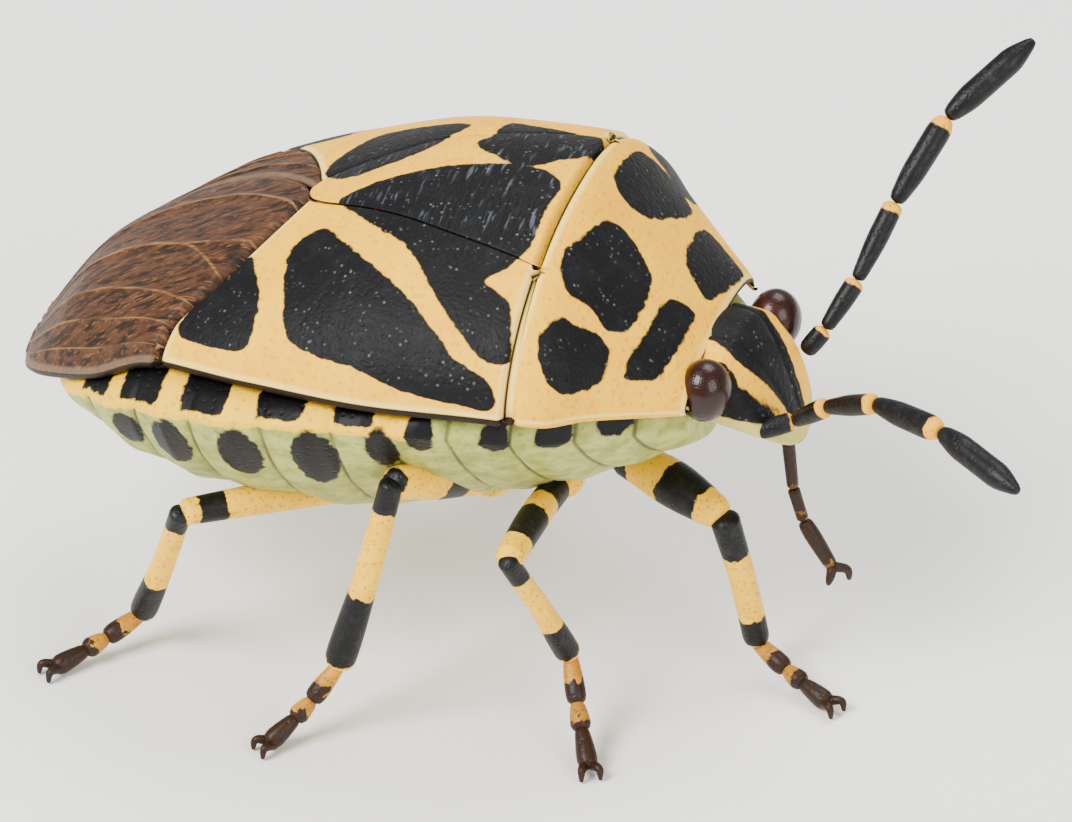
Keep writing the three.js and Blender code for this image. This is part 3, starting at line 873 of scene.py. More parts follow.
class Builder:
    """Turns pieces into objects that ride on the part and stand for its CAD nodes."""

    def __init__(self, placer: Placer) -> None:
        """Keeps the placer."""
        self.placer = placer

    def show(self, piece: Piece, material: bpy.types.Material, slot: str, *nodes: str) -> None:
        """Makes the object.

        Args:
            piece: Mesh and values.
            material: The finish it wears.
            slot: The record's material slot for it; not used.
            *nodes: CAD nodes that it stands for.
        """
        mesh = bpy.data.meshes.new(piece.name)
        mesh.from_pydata(self.placer.row(piece.points).tolist(), [], piece.faces)
        for key, value in piece.values.items():
            layer = mesh.attributes.new(key, "FLOAT", "POINT")
            layer.data.foreach_set("value", np.asarray(value, np.float32).ravel())
        mesh.shade_smooth()
        mesh.materials.append(material)
        mesh.update()
        shown = bpy.data.objects.new(piece.name, mesh)
        bpy.context.scene.collection.objects.link(shown)
        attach(shown, ROOT)
        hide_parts(*nodes)
        LOG.info("%s: %d vertices", piece.name, len(piece.points))


@dataclass(frozen=True)
class Member:
    """A group of pieces that the builder shows."""

    builder: Builder


def eased(points: Array, rim: Array, radius: float, depth: float) -> Array:
    """Plate points with the border rounded off: lowered by depth at the edge, over one radius."""
    inward = np.clip(rim / radius, 0, 1)
    drop = depth * (1 - np.sqrt(1 - (1 - inward) ** 2))
    return points - normals(points) * drop[..., None]


class Back(Member):
    """The plates of the back: pronotum, scutellum and the two wings."""

    THICK = 0.11
    MEMBRANE_THICK = 0.07
    LIP_THICK = 0.03
    LIP_STEPS = 5
    EDGE_RADIUS = 0.11
    EDGE_DROP = 0.06
    SEAM_RADIUS = 0.05
    SEAM_DROP = 0.02
    CLOSE = 0.004
    TUCK = 0.1
    TUCK_START = 0.1
    TUCK_RUN = 0.12
    TUCK_DROP = 0.12
    OVERLAP = 0.1
    SLIP = 0.16
    SLIP_RUN = 0.24
    FRONT_RUN = 0.3
    FRONT_THIN = 0.25
    MARGIN_SHARE = 0.6
    MARGIN_START = 0.036
    SCUTELLUM_CAMBER = 0.05
    SCUTELLUM_RIM = (0.02, 0.12, 0.01)
    CORIUM_START_X = -1.74
    REAR_SEAM_RIM = 0.02
    FIRST_GUESS_X = -2.5
    SEAM_ROUNDS = 40
    INNER_SLANT = 0.55
    COVER_LIMIT = 0.95
    VEIN_RISE = 0.025
    VEIN_WIDTH = 0.04
    OVER_RISE = {Side.RIGHT: 0.04, Side.LEFT: -0.02}
    RISE_RUN = 0.2
    FILM_RIM = 0.05
    VEINS = (
        Profile((0, 0.14), (1, 0.2)),
        Profile((0, 0.3), (0.35, 0.36), (1, 0.34)),
        Profile((0, 0.44), (0.35, 0.36), (1, 0.34)),
        Profile((0, 0.55), (1, 0.5)),
        Profile((0, 0.66), (1, 0.64)),
        Profile((0, 0.8), (1, 0.78)),
    )

    def tucked(self, points: Array) -> Array:
        """Wing points, lowered a little where they slide under the pronotum."""
        past = points[..., 0] - BODY.pronotum_rear_x + self.TUCK_START
        drop = self.TUCK_DROP * soft(np.clip(past / self.TUCK_RUN, 0, 1))
        return points - normals(points) * drop[..., None]

    def spots(self, points: Array, outlines: tuple[Outline, ...]) -> Array:
        """Signed distance from each point to the nearest marking."""
        x, y = points[..., 0], points[..., 1]
        v = BODY.unroll(x, y)
        return np.min([outline.distance(x, v, BODY.unroll) for outline in outlines], axis=0)

    def lip(self) -> Array:
        """Turns from the margin round the lip."""
        return math.pi / 2 + np.linspace(0, math.pi, self.LIP_STEPS + 1)[1:]

    def angles(self, start: Array, count: int) -> Array:
        """Turns from an inner edge out to the margin, and then round the lip."""
        inner = start[:, None] + (math.pi / 2 - start[:, None]) * spread(count)
        return np.concatenate([inner, np.tile(self.lip(), (len(start), 1))], 1)

    def rim(self, points: Array, seams: tuple[bool, bool, bool, bool]) -> Array:
        """Distance to the nearest edge of a plate.

        Args:
            points: The plate's grid.
            seams: Whether the first row, the last row, the first column and the last one count.

        Returns:
            One distance for each point, in millimetres.
        """
        rows, columns = arc(points, 0), arc(points, 1)
        edges = (rows, rows[-1:] - rows, columns, columns[:, -1:] - columns)
        return np.min([edge for edge, counts in zip(edges, seams) if counts], axis=0)

    def depth(self, thick: float, columns: int, both: bool = False) -> Array:
        """Thickness of each column of a plate, thinner on the curled lips."""
        lip = np.full(self.LIP_STEPS, self.LIP_THICK)
        middle = np.full(columns - len(lip) * (2 if both else 1), thick)
        return np.concatenate([lip, middle, lip] if both else [middle, lip])

    def pronotum(self) -> Piece:
        """The shield behind the head, from margin to margin."""
        x = BODY.pronotum_rear_x + (BODY.pronotum_front_x - BODY.pronotum_rear_x) * spread(120)
        lip = self.lip()
        angle = np.concatenate([-lip[::-1], math.pi * (spread(150, 0.3) - 0.5), lip])
        grid = np.tile(angle, (len(x), 1))
        station = np.repeat(x[:, None], len(angle), 1)
        points = BODY.back(station, grid, BODY.pronotum_half(station))
        rim = self.rim(points, (True, True, False, False))
        margin = BODY.pronotum_half(station) * np.abs(math.pi / 2 - np.abs(grid)) * self.MARGIN_SHARE
        spot = self.spots(points, PRONOTUM_SPOTS)
        points = eased(points, rim, self.EDGE_RADIUS, self.EDGE_DROP)
        values = {"spot": spot, "rim": np.minimum(rim, margin + self.MARGIN_START)}
        thinned = np.clip((BODY.pronotum_front_x - station) / self.FRONT_RUN, self.FRONT_THIN, 1)
        thick = self.depth(self.THICK, len(angle), both=True) * thinned
        return plate("pronotum_shell", points, thick, values)

    def scutellum(self) -> Piece:
        """The triangle between the wings."""
        front = BODY.pronotum_rear_x + self.TUCK
        x = front + (BODY.scutellum_tip_x + 0.02 - front) * spread(200, 0.4)
        half = BODY.wing_half(x)
        reach = np.arcsin(np.clip((BODY.scutellum_half(x) - self.CLOSE) / half, 0.004, 1))
        angle = reach[:, None] * (2 * spread(120, 0.4) - 1)[None]
        station = np.repeat(x[:, None], angle.shape[1], 1)
        points = BODY.back(station, angle, BODY.wing_half(station))
        camber = (1 - (angle / reach[:, None]) ** 2) * np.minimum(reach[:, None] * 3, 1)
        points[..., 2] += self.SCUTELLUM_CAMBER * camber
        edge = self.rim(points, (False, True, True, True))
        spot = self.spots(points, NEAR_SPOTS + FAR_SPOTS)
        points = self.tucked(eased(points, edge, self.SEAM_RADIUS, self.SEAM_DROP))
        start, lift, least = self.SCUTELLUM_RIM
        values = {"spot": spot, "rim": edge + start + lift * (edge > least)}
        return plate("scutellum_shell", points, self.THICK, values)

    def seam(self, angle: Array, wanted: Callable[[Array], Array]) -> Array:
        """Places along x where a seam, given by x against the plan's |y|, meets each angle."""
        x = np.full_like(angle, self.FIRST_GUESS_X)
        for _ in range(self.SEAM_ROUNDS):
            x = 0.5 * x + 0.5 * wanted(np.abs(BODY.wing_half(x) * np.sin(angle)))
        return x

    def slanted_seam(self, y: Array) -> Array:
        """Front edge of the membrane at each |y|: the corium's seam, or a slant beside the scutellum."""
        slant = BODY.scutellum_tip_x - BODY.gap + self.INNER_SLANT * y
        return np.minimum(BODY.membrane_seam(y), slant)

    def corium(self, side: Side) -> Piece:
        """The leathery front part of one wing."""
        front = BODY.pronotum_rear_x + self.TUCK
        along, columns = spread(230, 0.4), 130
        inner_x = self.CORIUM_START_X + (front - self.CORIUM_START_X) * along
        reach = np.arcsin((BODY.scutellum_half(inner_x) + self.CLOSE) / BODY.wing_half(inner_x))
        angle = self.angles(reach, columns)
        rear = self.seam(angle[0].clip(None, math.pi / 2), BODY.membrane_seam) + BODY.gap / 2
        station = rear[None] + (front - rear[None]) * along[:, None]
        points = BODY.back(station, angle * side.value, BODY.wing_half(station))
        open_part = points[:, :columns]
        rim = self.rim(open_part, (True, False, False, True))
        to_pronotum = np.abs(open_part[..., 0] - BODY.pronotum_rear_x + self.REAR_SEAM_RIM)
        rim = np.minimum(rim, to_pronotum + self.REAR_SEAM_RIM)
        rim = np.concatenate([rim, np.zeros((len(along), self.LIP_STEPS))], 1)
        spot = self.spots(points, NEAR_SPOTS + FAR_SPOTS)
        rear_rim = self.rim(points, (True, False, False, False))
        points = eased(points, rear_rim, self.EDGE_RADIUS, self.EDGE_DROP)
        inner_rim = self.rim(points, (False, False, True, False))
        points = self.tucked(eased(points, inner_rim, self.SEAM_RADIUS, self.SEAM_DROP))
        thick = self.depth(self.THICK, points.shape[1])
        return plate(f"corium_shell_{side.word}", points, thick, {"spot": spot, "rim": rim})

    def membrane(self, side: Side) -> Piece:
        """The thin rear part of one wing; the right one lies over the left."""
        over = side is Side.RIGHT
        along = np.sin(spread(220, 0.0) * math.pi / 2)
        share = spread(140, 0.3)
        first_x = BODY.scutellum_tip_x - BODY.gap
        inner_x = first_x + (BODY.tail_x - first_x) * along
        clear = -BODY.gap / 2 if over else BODY.gap / 2
        cover = (BODY.overlap_seam(inner_x) + clear) / BODY.wing_half(inner_x)
        reach = np.arcsin(np.clip(cover, -self.COVER_LIMIT, self.COVER_LIMIT))
        angle = self.angles(reach * (-1 if over else 1), len(share))
        rear = self.seam(angle[0].clip(None, math.pi / 2), self.slanted_seam) + self.OVERLAP
        station = rear[None] + (BODY.tail_x - rear[None]) * along[:, None]
        points = BODY.back(station, angle * side.value, BODY.wing_half(station))
        rim = self.rim(points[:, : len(share)], (True, True, True, True))
        rim = np.concatenate([rim, np.zeros((len(along), self.LIP_STEPS))], 1)
        width = arc(points[:, : len(share)], 1)[:, -1:]
        grid = np.concatenate([share, np.ones(self.LIP_STEPS)])[None]
        vein = np.min([np.abs(grid - line(along)[:, None]) for line in self.VEINS], axis=0) * width
        inward = self.rim(points, (True, True, True, False))
        ridge = self.VEIN_RISE * np.exp(-((vein / self.VEIN_WIDTH) ** 2)) + self.OVER_RISE[side]
        points = points + normals(points) * (ridge * np.clip(inward / self.RISE_RUN, 0, 1))[..., None]
        inner_rim = self.rim(points, (False, False, True, False))
        points = eased(points, inner_rim, self.EDGE_RADIUS, self.EDGE_DROP)
        under = soft(np.clip(1 - arc(points, 0) / self.SLIP_RUN, 0, 1))
        points = points - normals(points) * (self.SLIP * under)[..., None]
        thick = self.depth(self.MEMBRANE_THICK, points.shape[1])
        values = {"vein": vein, "rim": np.maximum(rim, self.FILM_RIM * (grid < 1))}
        return plate(f"membrane_film_{side.word}", points, thick, values)

    def build(self) -> None:
        """Makes and dresses the six plates."""
        shell = ShellFinish("pitted_yellow_black_shell").material()
        wrinkled = ShellFinish("wrinkled_yellow_black_shell", wrinkle=0.06).material()
        film = MembraneFinish("brown_veined_membrane").material()
        self.builder.show(self.pronotum(), shell, "yellow_plate", "pronotum")
        self.builder.show(self.scutellum(), wrinkled, "black_plate", "scutellum")
        for side in Side:
            self.builder.show(self.corium(side), shell, "yellow_plate", f"corium_{side.word}")
            self.builder.show(self.membrane(side), film, "wing_membrane", f"membrane_{side.word}")


class Underside(Member):
    """One skin for the belly and the thorax, with the narrow border that shows beside the wings."""

    SUTURES = (-3.95, -3.12, -2.3, -1.33, -0.42, 0.3, 1.0, 1.72, 2.4, 3.0)
    SQUARES = ((-4.22, -3.73), (-3.53, -2.92), (-2.62, -1.98), (-1.6, -0.96), (-0.61, -0.07))
    OVALS = (
        (-3.46, -0.72, 0.2, 0.36), (-2.8, -0.63, 0.27, 0.48), (-1.84, -0.46, 0.28, 0.5),
        (-0.86, -0.36, 0.29, 0.56), (0.0, -0.05, 0.19, 0.4), (0.5, 0.3, 0.18, 0.3),
        (1.39, 0.29, 0.17, 0.24), (2.05, 0.28, 0.2, 0.2), (2.69, 0.28, 0.2, 0.16),
    )

    REAR_X = -5.03
    FRONT_X = 3.42
    BELOW_RIM = 0.06
    BELLY_COLUMNS = 121
    TOP_COLUMNS = 25
    BORDER_COLUMNS = 12
    BORDER_SWELL = 0.06
    INSIDE_PLATE = 0.2
    INSIDE_BELLY = 0.12
    UNDER_CREST = 0.2
    SUTURE_SLANT = 0.06
    GROOVE_DEPTH = 0.05
    GROOVE_WIDTH = 0.05
    RING_SWELL = 0.05
    RING_RUN = 0.4
    CORE_WIDTH = 0.55
    CORE_Z = -0.3
    REAR_FADE = 0.5
    FRONT_FADE = 0.3
    BORDER_BELOW = 0.08
    BORDER_FRONT_X = 0.45
    SQUARE_TAPER = 0.25
    SQUARE_REACH = 0.3
    SQUARE_START = 0.15
    OVAL_START = 0.8

    def ring(self, x: float) -> Array:
        """One ring of points round the body at x: the belly, the border, the hidden top and back."""
        half, plate_half = float(BODY.belly_half(x)), float(BODY.half(np.array(x)))
        base = float(BODY.margin(x)) - BODY.rim - BODY.gap
        edge = min(float(BODY.belly_edge(x)), base - self.BELOW_RIM)
        inner = min(plate_half - self.INSIDE_PLATE, half - self.INSIDE_BELLY)
        share = np.sin(np.linspace(math.pi / 2, -math.pi / 2, self.BELLY_COLUMNS))
        fall = (1 - np.abs(share) ** BODY.belly_power(x)) ** BODY.belly_round(x)
        below = np.stack([half * share, edge - (edge - float(BODY.keel(x))) * fall], 1)
        height = max(float(BODY.crest(x) - BODY.margin(x)) - self.UNDER_CREST, 0.01)
        top = np.sin(np.linspace(-math.pi / 2, math.pi / 2, self.TOP_COLUMNS))
        rise = (1 - np.abs(top) ** BODY.dome_power) ** BODY.dome_round
        above = np.stack([inner * top, base + height * rise], 1)
        swell = np.linspace(0, 1, self.BORDER_COLUMNS)[1:-1, None]
        border = below[-1] + (above[0] - below[-1]) * swell
        border[:, 1] += self.BORDER_SWELL * np.sin(math.pi * swell[:, 0])
        flat = np.concatenate([below, border, above, border[::-1] * (-1, 1)])
        return np.stack([np.full(len(flat), x), flat[:, 0], flat[:, 1]], 1)

    def grooved(self, points: Array, suture: Array) -> Array:
        """The skin's points, sunk at the sutures and swelling between them."""
        x = points[..., 0]
        swelling = self.RING_SWELL * np.clip(suture / self.RING_RUN, 0, 1) ** 2
        groove = self.GROOVE_DEPTH * np.exp(-((suture / self.GROOVE_WIDTH) ** 2)) - swelling
        centre = np.stack([x, self.CORE_WIDTH * points[..., 1], np.full_like(x, self.CORE_Z)], -1)
        outward = points - centre
        outward /= np.linalg.norm(outward, axis=-1, keepdims=True)
        rear = np.clip((x - x[0, 0]) / self.REAR_FADE, 0, 1)
        front = np.clip((x[-1, 0] - x) / self.FRONT_FADE, 0, 1)
        return points - outward * (groove * (rear * front))[..., None]

    def markings(self, points: Array) -> tuple[Array, Array]:
        """Measures where the border runs, and the signed distance to its squares and the belly's ovals.

        Args:
            points: Grid of the skin's points, before the grooves.

        Returns:
            The height above the border's foot, and the distance to the nearest black spot.
        """
        x, y, z = points[..., 0], points[..., 1], points[..., 2]
        edge = np.minimum(BODY.belly_edge(x), BODY.margin(x) - BODY.rim - BODY.gap - self.BELOW_RIM)
        inset = 0.5 * np.maximum(BODY.belly_half(x) - np.abs(y), 0) * (z > edge)
        outside = np.maximum(z - edge, 0) + inset
        border = np.where(z >= edge - 1e-4, outside + self.BORDER_BELOW, z - edge + self.BORDER_BELOW)
        border = np.minimum(border, self.BORDER_FRONT_X - x)
        squares = np.min([np.abs(x - (a + b) / 2) - (b - a) / 2 for a, b in self.SQUARES], axis=0)
        taper = self.SQUARE_TAPER * (self.SQUARE_REACH - np.clip(border, 0, self.SQUARE_REACH))
        squares = np.maximum(squares + taper, self.SQUARE_START - border)
        ovals = [(np.hypot((x - u) / a, (z - w) / b) - 1) * min(a, b) for u, w, a, b in self.OVALS]
        on_side = np.abs(y) > self.OVAL_START
        return border, np.minimum(squares, np.where(on_side, np.min(ovals, axis=0), 1.0))

    def build(self) -> None:
        """Makes and dresses the skin."""
        stations = self.REAR_X + (self.FRONT_X - self.REAR_X) * spread(260, 0.5)
        plain = np.array([self.ring(x) for x in stations])
        across = self.SUTURE_SLANT * np.abs(plain[..., 1])
        suture = np.min([np.abs(plain[..., 0] + across - place) for place in self.SUTURES], axis=0)
        border, spot = self.markings(plain)
        points = self.grooved(plain, suture).reshape(-1, 3)
        values = {"suture": suture.ravel(), "border": border.ravel(), "spot": spot.ravel()}
        piece = Piece("underside_skin", points, closed(*plain.shape[:2]), values)
        finish = UndersideFinish("green_underside_shell").material()
        self.builder.show(piece, finish, "green_underside", "abdomen", "thorax")


class Head(Member):
    """Head capsule with its eyes."""

    REAR_X = 3.4
    TIP_X = 4.64
    HALF = Profile(
        (3.53, 1.0), (3.85, 1.02), (4.1, 0.95), (4.35, 0.78), (4.52, 0.55), (4.6, 0.34), (4.64, 0.12)
    )
    TOP = Profile((3.53, 0.8), (3.75, 0.79), (4.05, 0.53), (4.3, 0.15), (4.5, -0.24), (4.64, -0.58))
    BASE = Profile((3.53, -0.42), (4.0, -0.44), (4.3, -0.47), (4.56, -0.57), (4.64, -0.64))
    WIDEST = 0.45
    SQUARENESS = 0.85
    FURROW = Profile((3.5, 0.42), (3.9, 0.36), (4.3, 0.2), (4.6, 0.08))
    FURROW_WIDTH = 0.04
    FURROW_DEPTH = 0.035
    STRIPE = Outline(
        (3.3, -0.5), (3.44, -0.51), (3.63, -0.55), (3.84, -0.61), (4.02, -0.56), (4.17, -0.46),
        (4.3, -0.32), (4.43, -0.22), (4.52, -0.1), (4.58, 0.1), (4.56, 0.24), (4.5, 0.3),
        (4.39, 0.36), (4.27, 0.41), (4.12, 0.47), (3.93, 0.5), (3.7, 0.56), (3.49, 0.62), (3.3, 0.6),
    )
    CHEEK = Profile(
        (3.7, 0.45), (3.95, 0.38), (4.09, 0.3), (4.25, 0.14), (4.39, -0.06), (4.51, -0.3), (4.6, -0.5)
    )
    FAR_CHEEK_DROP = 0.15
    UNDER = Profile((3.7, 0.0), (3.96, -0.04), (4.17, -0.08), (4.34, -0.14), (4.49, -0.28), (4.6, -0.42))
    SOCKET_SCALE = 0.35
    SOCKET_MARGIN = 0.05
    EYE_RADII = np.array((0.33, 0.34, 0.4))
    EYE_SETBACK = (0.06, 0, 0)
    EYE_FOOT_Y = 0.82
    EYE_POLE = 0.02

    def capsule(self) -> Piece:
        """The head without its eyes."""
        x = self.REAR_X + (self.TIP_X - self.REAR_X) * np.sin(np.linspace(0, 1, 120) * math.pi / 2)
        turn = np.linspace(0, 2 * math.pi, 144, endpoint=False)
        station = np.repeat(x[:, None], len(turn), 1)
        top, base = self.TOP(station), self.BASE(station)
        middle = base + self.WIDEST * (top - base)
        sine = np.sin(turn)[None]
        rise = np.sign(sine) * np.abs(sine) ** self.SQUARENESS
        z = middle + np.where(sine > 0, top - middle, middle - base) * rise
        y = -self.HALF(station) * np.cos(turn)[None]
        beside = (np.abs(y) - self.FURROW(station)) / self.FURROW_WIDTH
        z = z - self.FURROW_DEPTH * (np.exp(-(beside**2)) * (z > middle))
        points = np.stack([station, y, z], -1)
        stripe = self.STRIPE.distance(station, y, level)
        cheek = z - self.CHEEK(station) + np.where(y > 0, self.FAR_CHEEK_DROP, 0.0)
        under = self.UNDER(station) - z
        from_eye = np.linalg.norm((np.abs(points) - EYE_CENTRES[Side.LEFT]) / self.EYE_RADII, axis=-1)
        socket = (from_eye - 1) * self.SOCKET_SCALE - self.SOCKET_MARGIN
        spot = np.min([stripe, np.maximum(cheek, under), np.where(z > 0, socket, 1.0)], axis=0)
        values = {"spot": spot.ravel(), "rim": np.full(spot.size, 1.0), "under": under.ravel()}
        faces = closed(len(x), len(turn))
        return Piece("head_capsule", head_pose(points.reshape(-1, 3)), faces, values)

    def eye(self, side: Side) -> Piece:
        """One compound eye."""
        down = np.linspace(self.EYE_POLE, math.pi - self.EYE_POLE, 60)
        around = np.linspace(0, 2 * math.pi, 80, endpoint=False)
        ring = np.sin(down)[:, None]
        height = np.repeat(np.cos(down)[:, None], len(around), 1)
        unit = np.stack([ring * np.cos(around), ring * np.sin(around), height], -1)
        points = EYE_CENTRES[side] + unit * self.EYE_RADII - self.EYE_SETBACK
        values = {"rim": (points[..., 1] * side.value - self.EYE_FOOT_Y).ravel()}
        faces = flipped(closed(len(down), len(around)))
        return Piece(f"compound_eye_{side.word}", head_pose(points).reshape(-1, 3), faces, values)

    def build(self) -> None:
        """Makes and dresses the head and the eyes."""
        finish = ShellFinish("pitted_head_shell", pit_spacing=0.09, pit_width=0.04, has_underside=True)
        self.builder.show(self.capsule(), finish.material(), "black_plate", "head")
        gloss = EyeFinish("faceted_compound_eye").material()
        for side in Side:
            self.builder.show(self.eye(side), gloss, "compound_eye", f"eye_{side.word}")


Bands = tuple[tuple[float, float], ...]
ALL_DARK: Bands = ((0.0, 1.0),)


@dataclass(frozen=True)
class Leg:
    """Joints of one leg from the hip to the toe, and its black bands as shares of a length."""

    name: str
    hip: Point
    knee: Point
    ankle: Point
    toe: Point
    femur_bands: Bands
    tibia_bands: Bands
    femur_radii: Point = (0.16, 0.2, 0.17)
    tibia_radii: tuple[float, float] = (0.14, 0.175)


MIDDLE_BANDS = ((0.3, 0.56), (0.97, 1.0)), ((0.0, 0.16), (0.6, 0.96))
MIDDLE_RADII = (0.22, 0.29, 0.19), (0.15, 0.2)
HIND_BANDS = ((0.79, 0.93),), ((0.0, 0.14), (0.66, 0.96))
LEGS = (
    Leg(
        "right_fore",
        (1.6, -0.45, -1.65), (1.59, -2.79, -1.39), (2.14, -1.94, -3.26), (2.71, -3.0, -4.13),
        ((0.0, 0.3), (0.48, 0.8)), ((0.0, 0.2), (0.68, 0.95)), (0.19, 0.2, 0.18), (0.13, 0.165),
    ),
    Leg(
        "left_fore",
        (1.85, 0.4, -1.7), (3.7, -0.54, -1.78), (4.07, -0.24, -3.8), (5.17, -0.8, -4.13),
        ((0.0, 0.2), (0.5, 0.82)), ((0.0, 0.3), (0.78, 0.97)), (0.2, 0.3, 0.2), (0.19, 0.17),
    ),
    Leg(
        "right_middle",
        (0.7, -0.5, -1.8), (0.11, -2.79, -0.54), (-0.56, -2.95, -3.31), (-1.24, -3.7, -4.13),
        *MIDDLE_BANDS, *MIDDLE_RADII,
    ),
    Leg(
        "left_middle",
        (0.7, 0.5, -1.8), (0.45, 2.85, -0.5), (-0.05, 3.1, -3.3), (-0.55, 3.95, -4.13),
        *MIDDLE_BANDS, *MIDDLE_RADII,
    ),
    Leg(
        "right_hind",
        (-0.5, -0.4, -2.2), (-2.68, -2.67, -1.62), (-3.47, -1.99, -3.75), (-4.32, -2.94, -4.13),
        *HIND_BANDS,
    ),
    Leg(
        "left_hind",
        (-0.5, 0.4, -2.2), (-2.6, 2.65, -1.62), (-3.15, 2.35, -3.75), (-3.95, 3.3, -4.13),
        *HIND_BANDS,
    ),
)


def banded(run: Array, length: float, bands: Bands) -> Array:
    """Signed distance along a limb to its nearest band, below zero inside one."""
    if not bands:
        return np.full(run.shape, 1.0)
    # A band that reaches an end of the limb runs on past it, over the rounded cap.
    past = [(a if a > 0 else -1.0, b if b < 1 else 2.0) for a, b in bands]
    parts = [np.abs(run - length * (a + b) / 2) - length * (b - a) / 2 for a, b in past]
    return np.min(parts, axis=0)


def limb(name: str, joints: list, radii: Profile, bands: Bands, rings: int = 60) -> Piece:
    """Limb through its joints, with bands measured along it.

    Args:
        name: The piece's name.
        joints: Points that its middle line runs through.
        radii: Radius against share of the length.
        bands: Dark bands, as shares of the length.
        rings: Rings along the limb.

    Returns:
        The finished piece.
    """
    line = bend(joints, np.linspace(0, 1, 60))
    length = float(arc(line, 0)[-1])
    places, sizes = capped(length, radii, rings)
    piece, run = tube(name, bend(joints, places), sizes)
    piece.values["spot"] = banded(run, length, bands)
    return piece


class Limbs(Member):
    """Legs, feelers and beak."""

    COXA_LIFTS = (0.3, 0.05)
    COXA_SHARE = 0.12
    COXA_RADII = Profile((0, 0.3), (0.6, 0.27), (1, 0.2))
    FEMUR_BOW = (0, 0, 0.06)
    TIBIA_BOW = (0.03, 0, 0)
    KNEE_OVERRUN = 0.05
    FOOT_MARKS = np.array((0.0, 0.42, 0.66, 1.0))
    FOOT_BANDS = (((0.6, 1.0),), ((0.6, 1.0),), ALL_DARK)
    FOOT_RADII = Profile((0, 0.085), (0.75, 0.13), (1, 0.12))
    FOOT_OVERRUN = 0.12
    LANDING = 0.45
    CLAW = ((-0.08, 0.04, 0.0), (0.1, 0.11, 0.04), (0.14, 0.12, -0.1))
    CLAW_RADII = Profile((0, 0.07), (0.5, 0.055), (1, 0.025))
    FEELERS = {
        Side.RIGHT: (
            (4.2, -0.86, -0.2), (4.62, -0.66, -0.08), (5.1, -0.92, 0.38), (5.85, -1.43, 0.9),
            (6.85, -2.1, 1.12), (8.04, -2.9, 1.0),
        ),
        Side.LEFT: (
            (4.34, 0.74, -0.02), (4.56, 0.9, 0.28), (4.83, 1.35, 0.77), (5.11, 2.04, 1.54),
            (5.54, 2.83, 2.39), (6.4, 3.7, 3.16),
        ),
    }
    FEELER_RADII = (
        Profile((0, 0.11), (0.5, 0.125), (1, 0.12)),
        Profile((0, 0.09), (0.6, 0.125), (1, 0.13)),
        Profile((0, 0.09), (0.6, 0.135), (1, 0.13)),
        Profile((0, 0.1), (0.4, 0.155), (0.8, 0.16), (1, 0.12)),
        Profile((0, 0.1), (0.3, 0.165), (0.7, 0.165), (1, 0.06)),
    )
    FEELER_BANDS = (((0.0, 0.88),),) * 4 + (ALL_DARK,)
    BEAK = ((4.32, 0, -0.5), (4.43, 0, -1.54), (4.57, 0, -2.0), (4.95, 0, -2.62))
    BEAK_RADII = (
        Profile((0, 0.09), (1, 0.075)),
        Profile((0, 0.08), (1, 0.075)),
        Profile((0, 0.09), (0.3, 0.105), (1, 0.085)),
    )
    BEAK_BANDS = ((0.0, 0.95),)
    FORK_X = 0.09
    FORK = ((0.08, 0.08, -0.06), (0.11, 0.1, -0.22))
    FORK_RADII = Profile((0, 0.07), (0.6, 0.055), (1, 0.03))

    def leg(self, leg: Leg, shell: bpy.types.Material, foot: bpy.types.Material) -> None:
        """Makes one leg: coxa, femur, tibia, tarsus of three pieces and two claws."""
        hip, knee, ankle, toe = (np.array(joint) for joint in (leg.hip, leg.knee, leg.ankle, leg.toe))
        inner = hip + (knee - hip) * self.COXA_SHARE
        root, base = (hip + (0, 0, lift) for lift in self.COXA_LIFTS)
        coxa = limb(f"{leg.name}_hip_piece", [root, base, inner], self.COXA_RADII, ())
        self.builder.show(coxa, shell, "banded_leg", f"{leg.name}_coxa")
        start, middle, end = leg.femur_radii
        thickness = Profile((0, start), (0.5, middle), (1, end))
        bow = (hip + knee) / 2 + np.array(self.FEMUR_BOW)
        femur = limb(f"{leg.name}_thigh", [inner, bow, knee], thickness, leg.femur_bands)
        self.builder.show(femur, shell, "banded_leg", f"{leg.name}_femur")
        upper, lower = leg.tibia_radii
        waist = 0.5 * (upper + lower) - 0.01
        thickness = Profile((0, upper), (0.5, waist), (0.9, lower), (1, 0.95 * lower))
        down = (ankle - knee) / np.linalg.norm(ankle - knee)
        bow = (knee + ankle) / 2 + self.TIBIA_BOW
        line = [knee - self.KNEE_OVERRUN * down, bow, ankle]
        tibia = limb(f"{leg.name}_shin", line, thickness, leg.tibia_bands)
        self.builder.show(tibia, shell, "banded_leg", f"{leg.name}_tibia")
        self.builder.show(self.foot(leg.name, ankle, toe), foot, "brown_foot", f"{leg.name}_tarsus")

    def foot(self, leg: str, ankle: Array, toe: Array) -> Piece:
        """A tarsus of three pieces, with two curved claws."""
        landing = ankle + self.LANDING * (toe - ankle)
        landing[2] = toe[2] + self.LANDING * (ankle[2] - toe[2])
        marks = bend([ankle, landing, toe], self.FOOT_MARKS)
        parts = []
        for start, end, bands in zip(marks, marks[1:], self.FOOT_BANDS):
            line = [start - self.FOOT_OVERRUN * (end - start), end]
            parts.append(limb(f"{leg}_foot", line, self.FOOT_RADII, bands, rings=16))
        forward = np.array((toe[0] - ankle[0], toe[1] - ankle[1], 0.0))
        forward /= np.linalg.norm(forward)
        across = np.array((-forward[1], forward[0], 0.0))
        for turn in (-1, 1):
            line = [toe + f * forward + a * turn * across + (0, 0, up) for f, a, up in self.CLAW]
            parts.append(limb(f"{leg}_foot", line, self.CLAW_RADII, ALL_DARK, rings=16))
        return merged(parts)

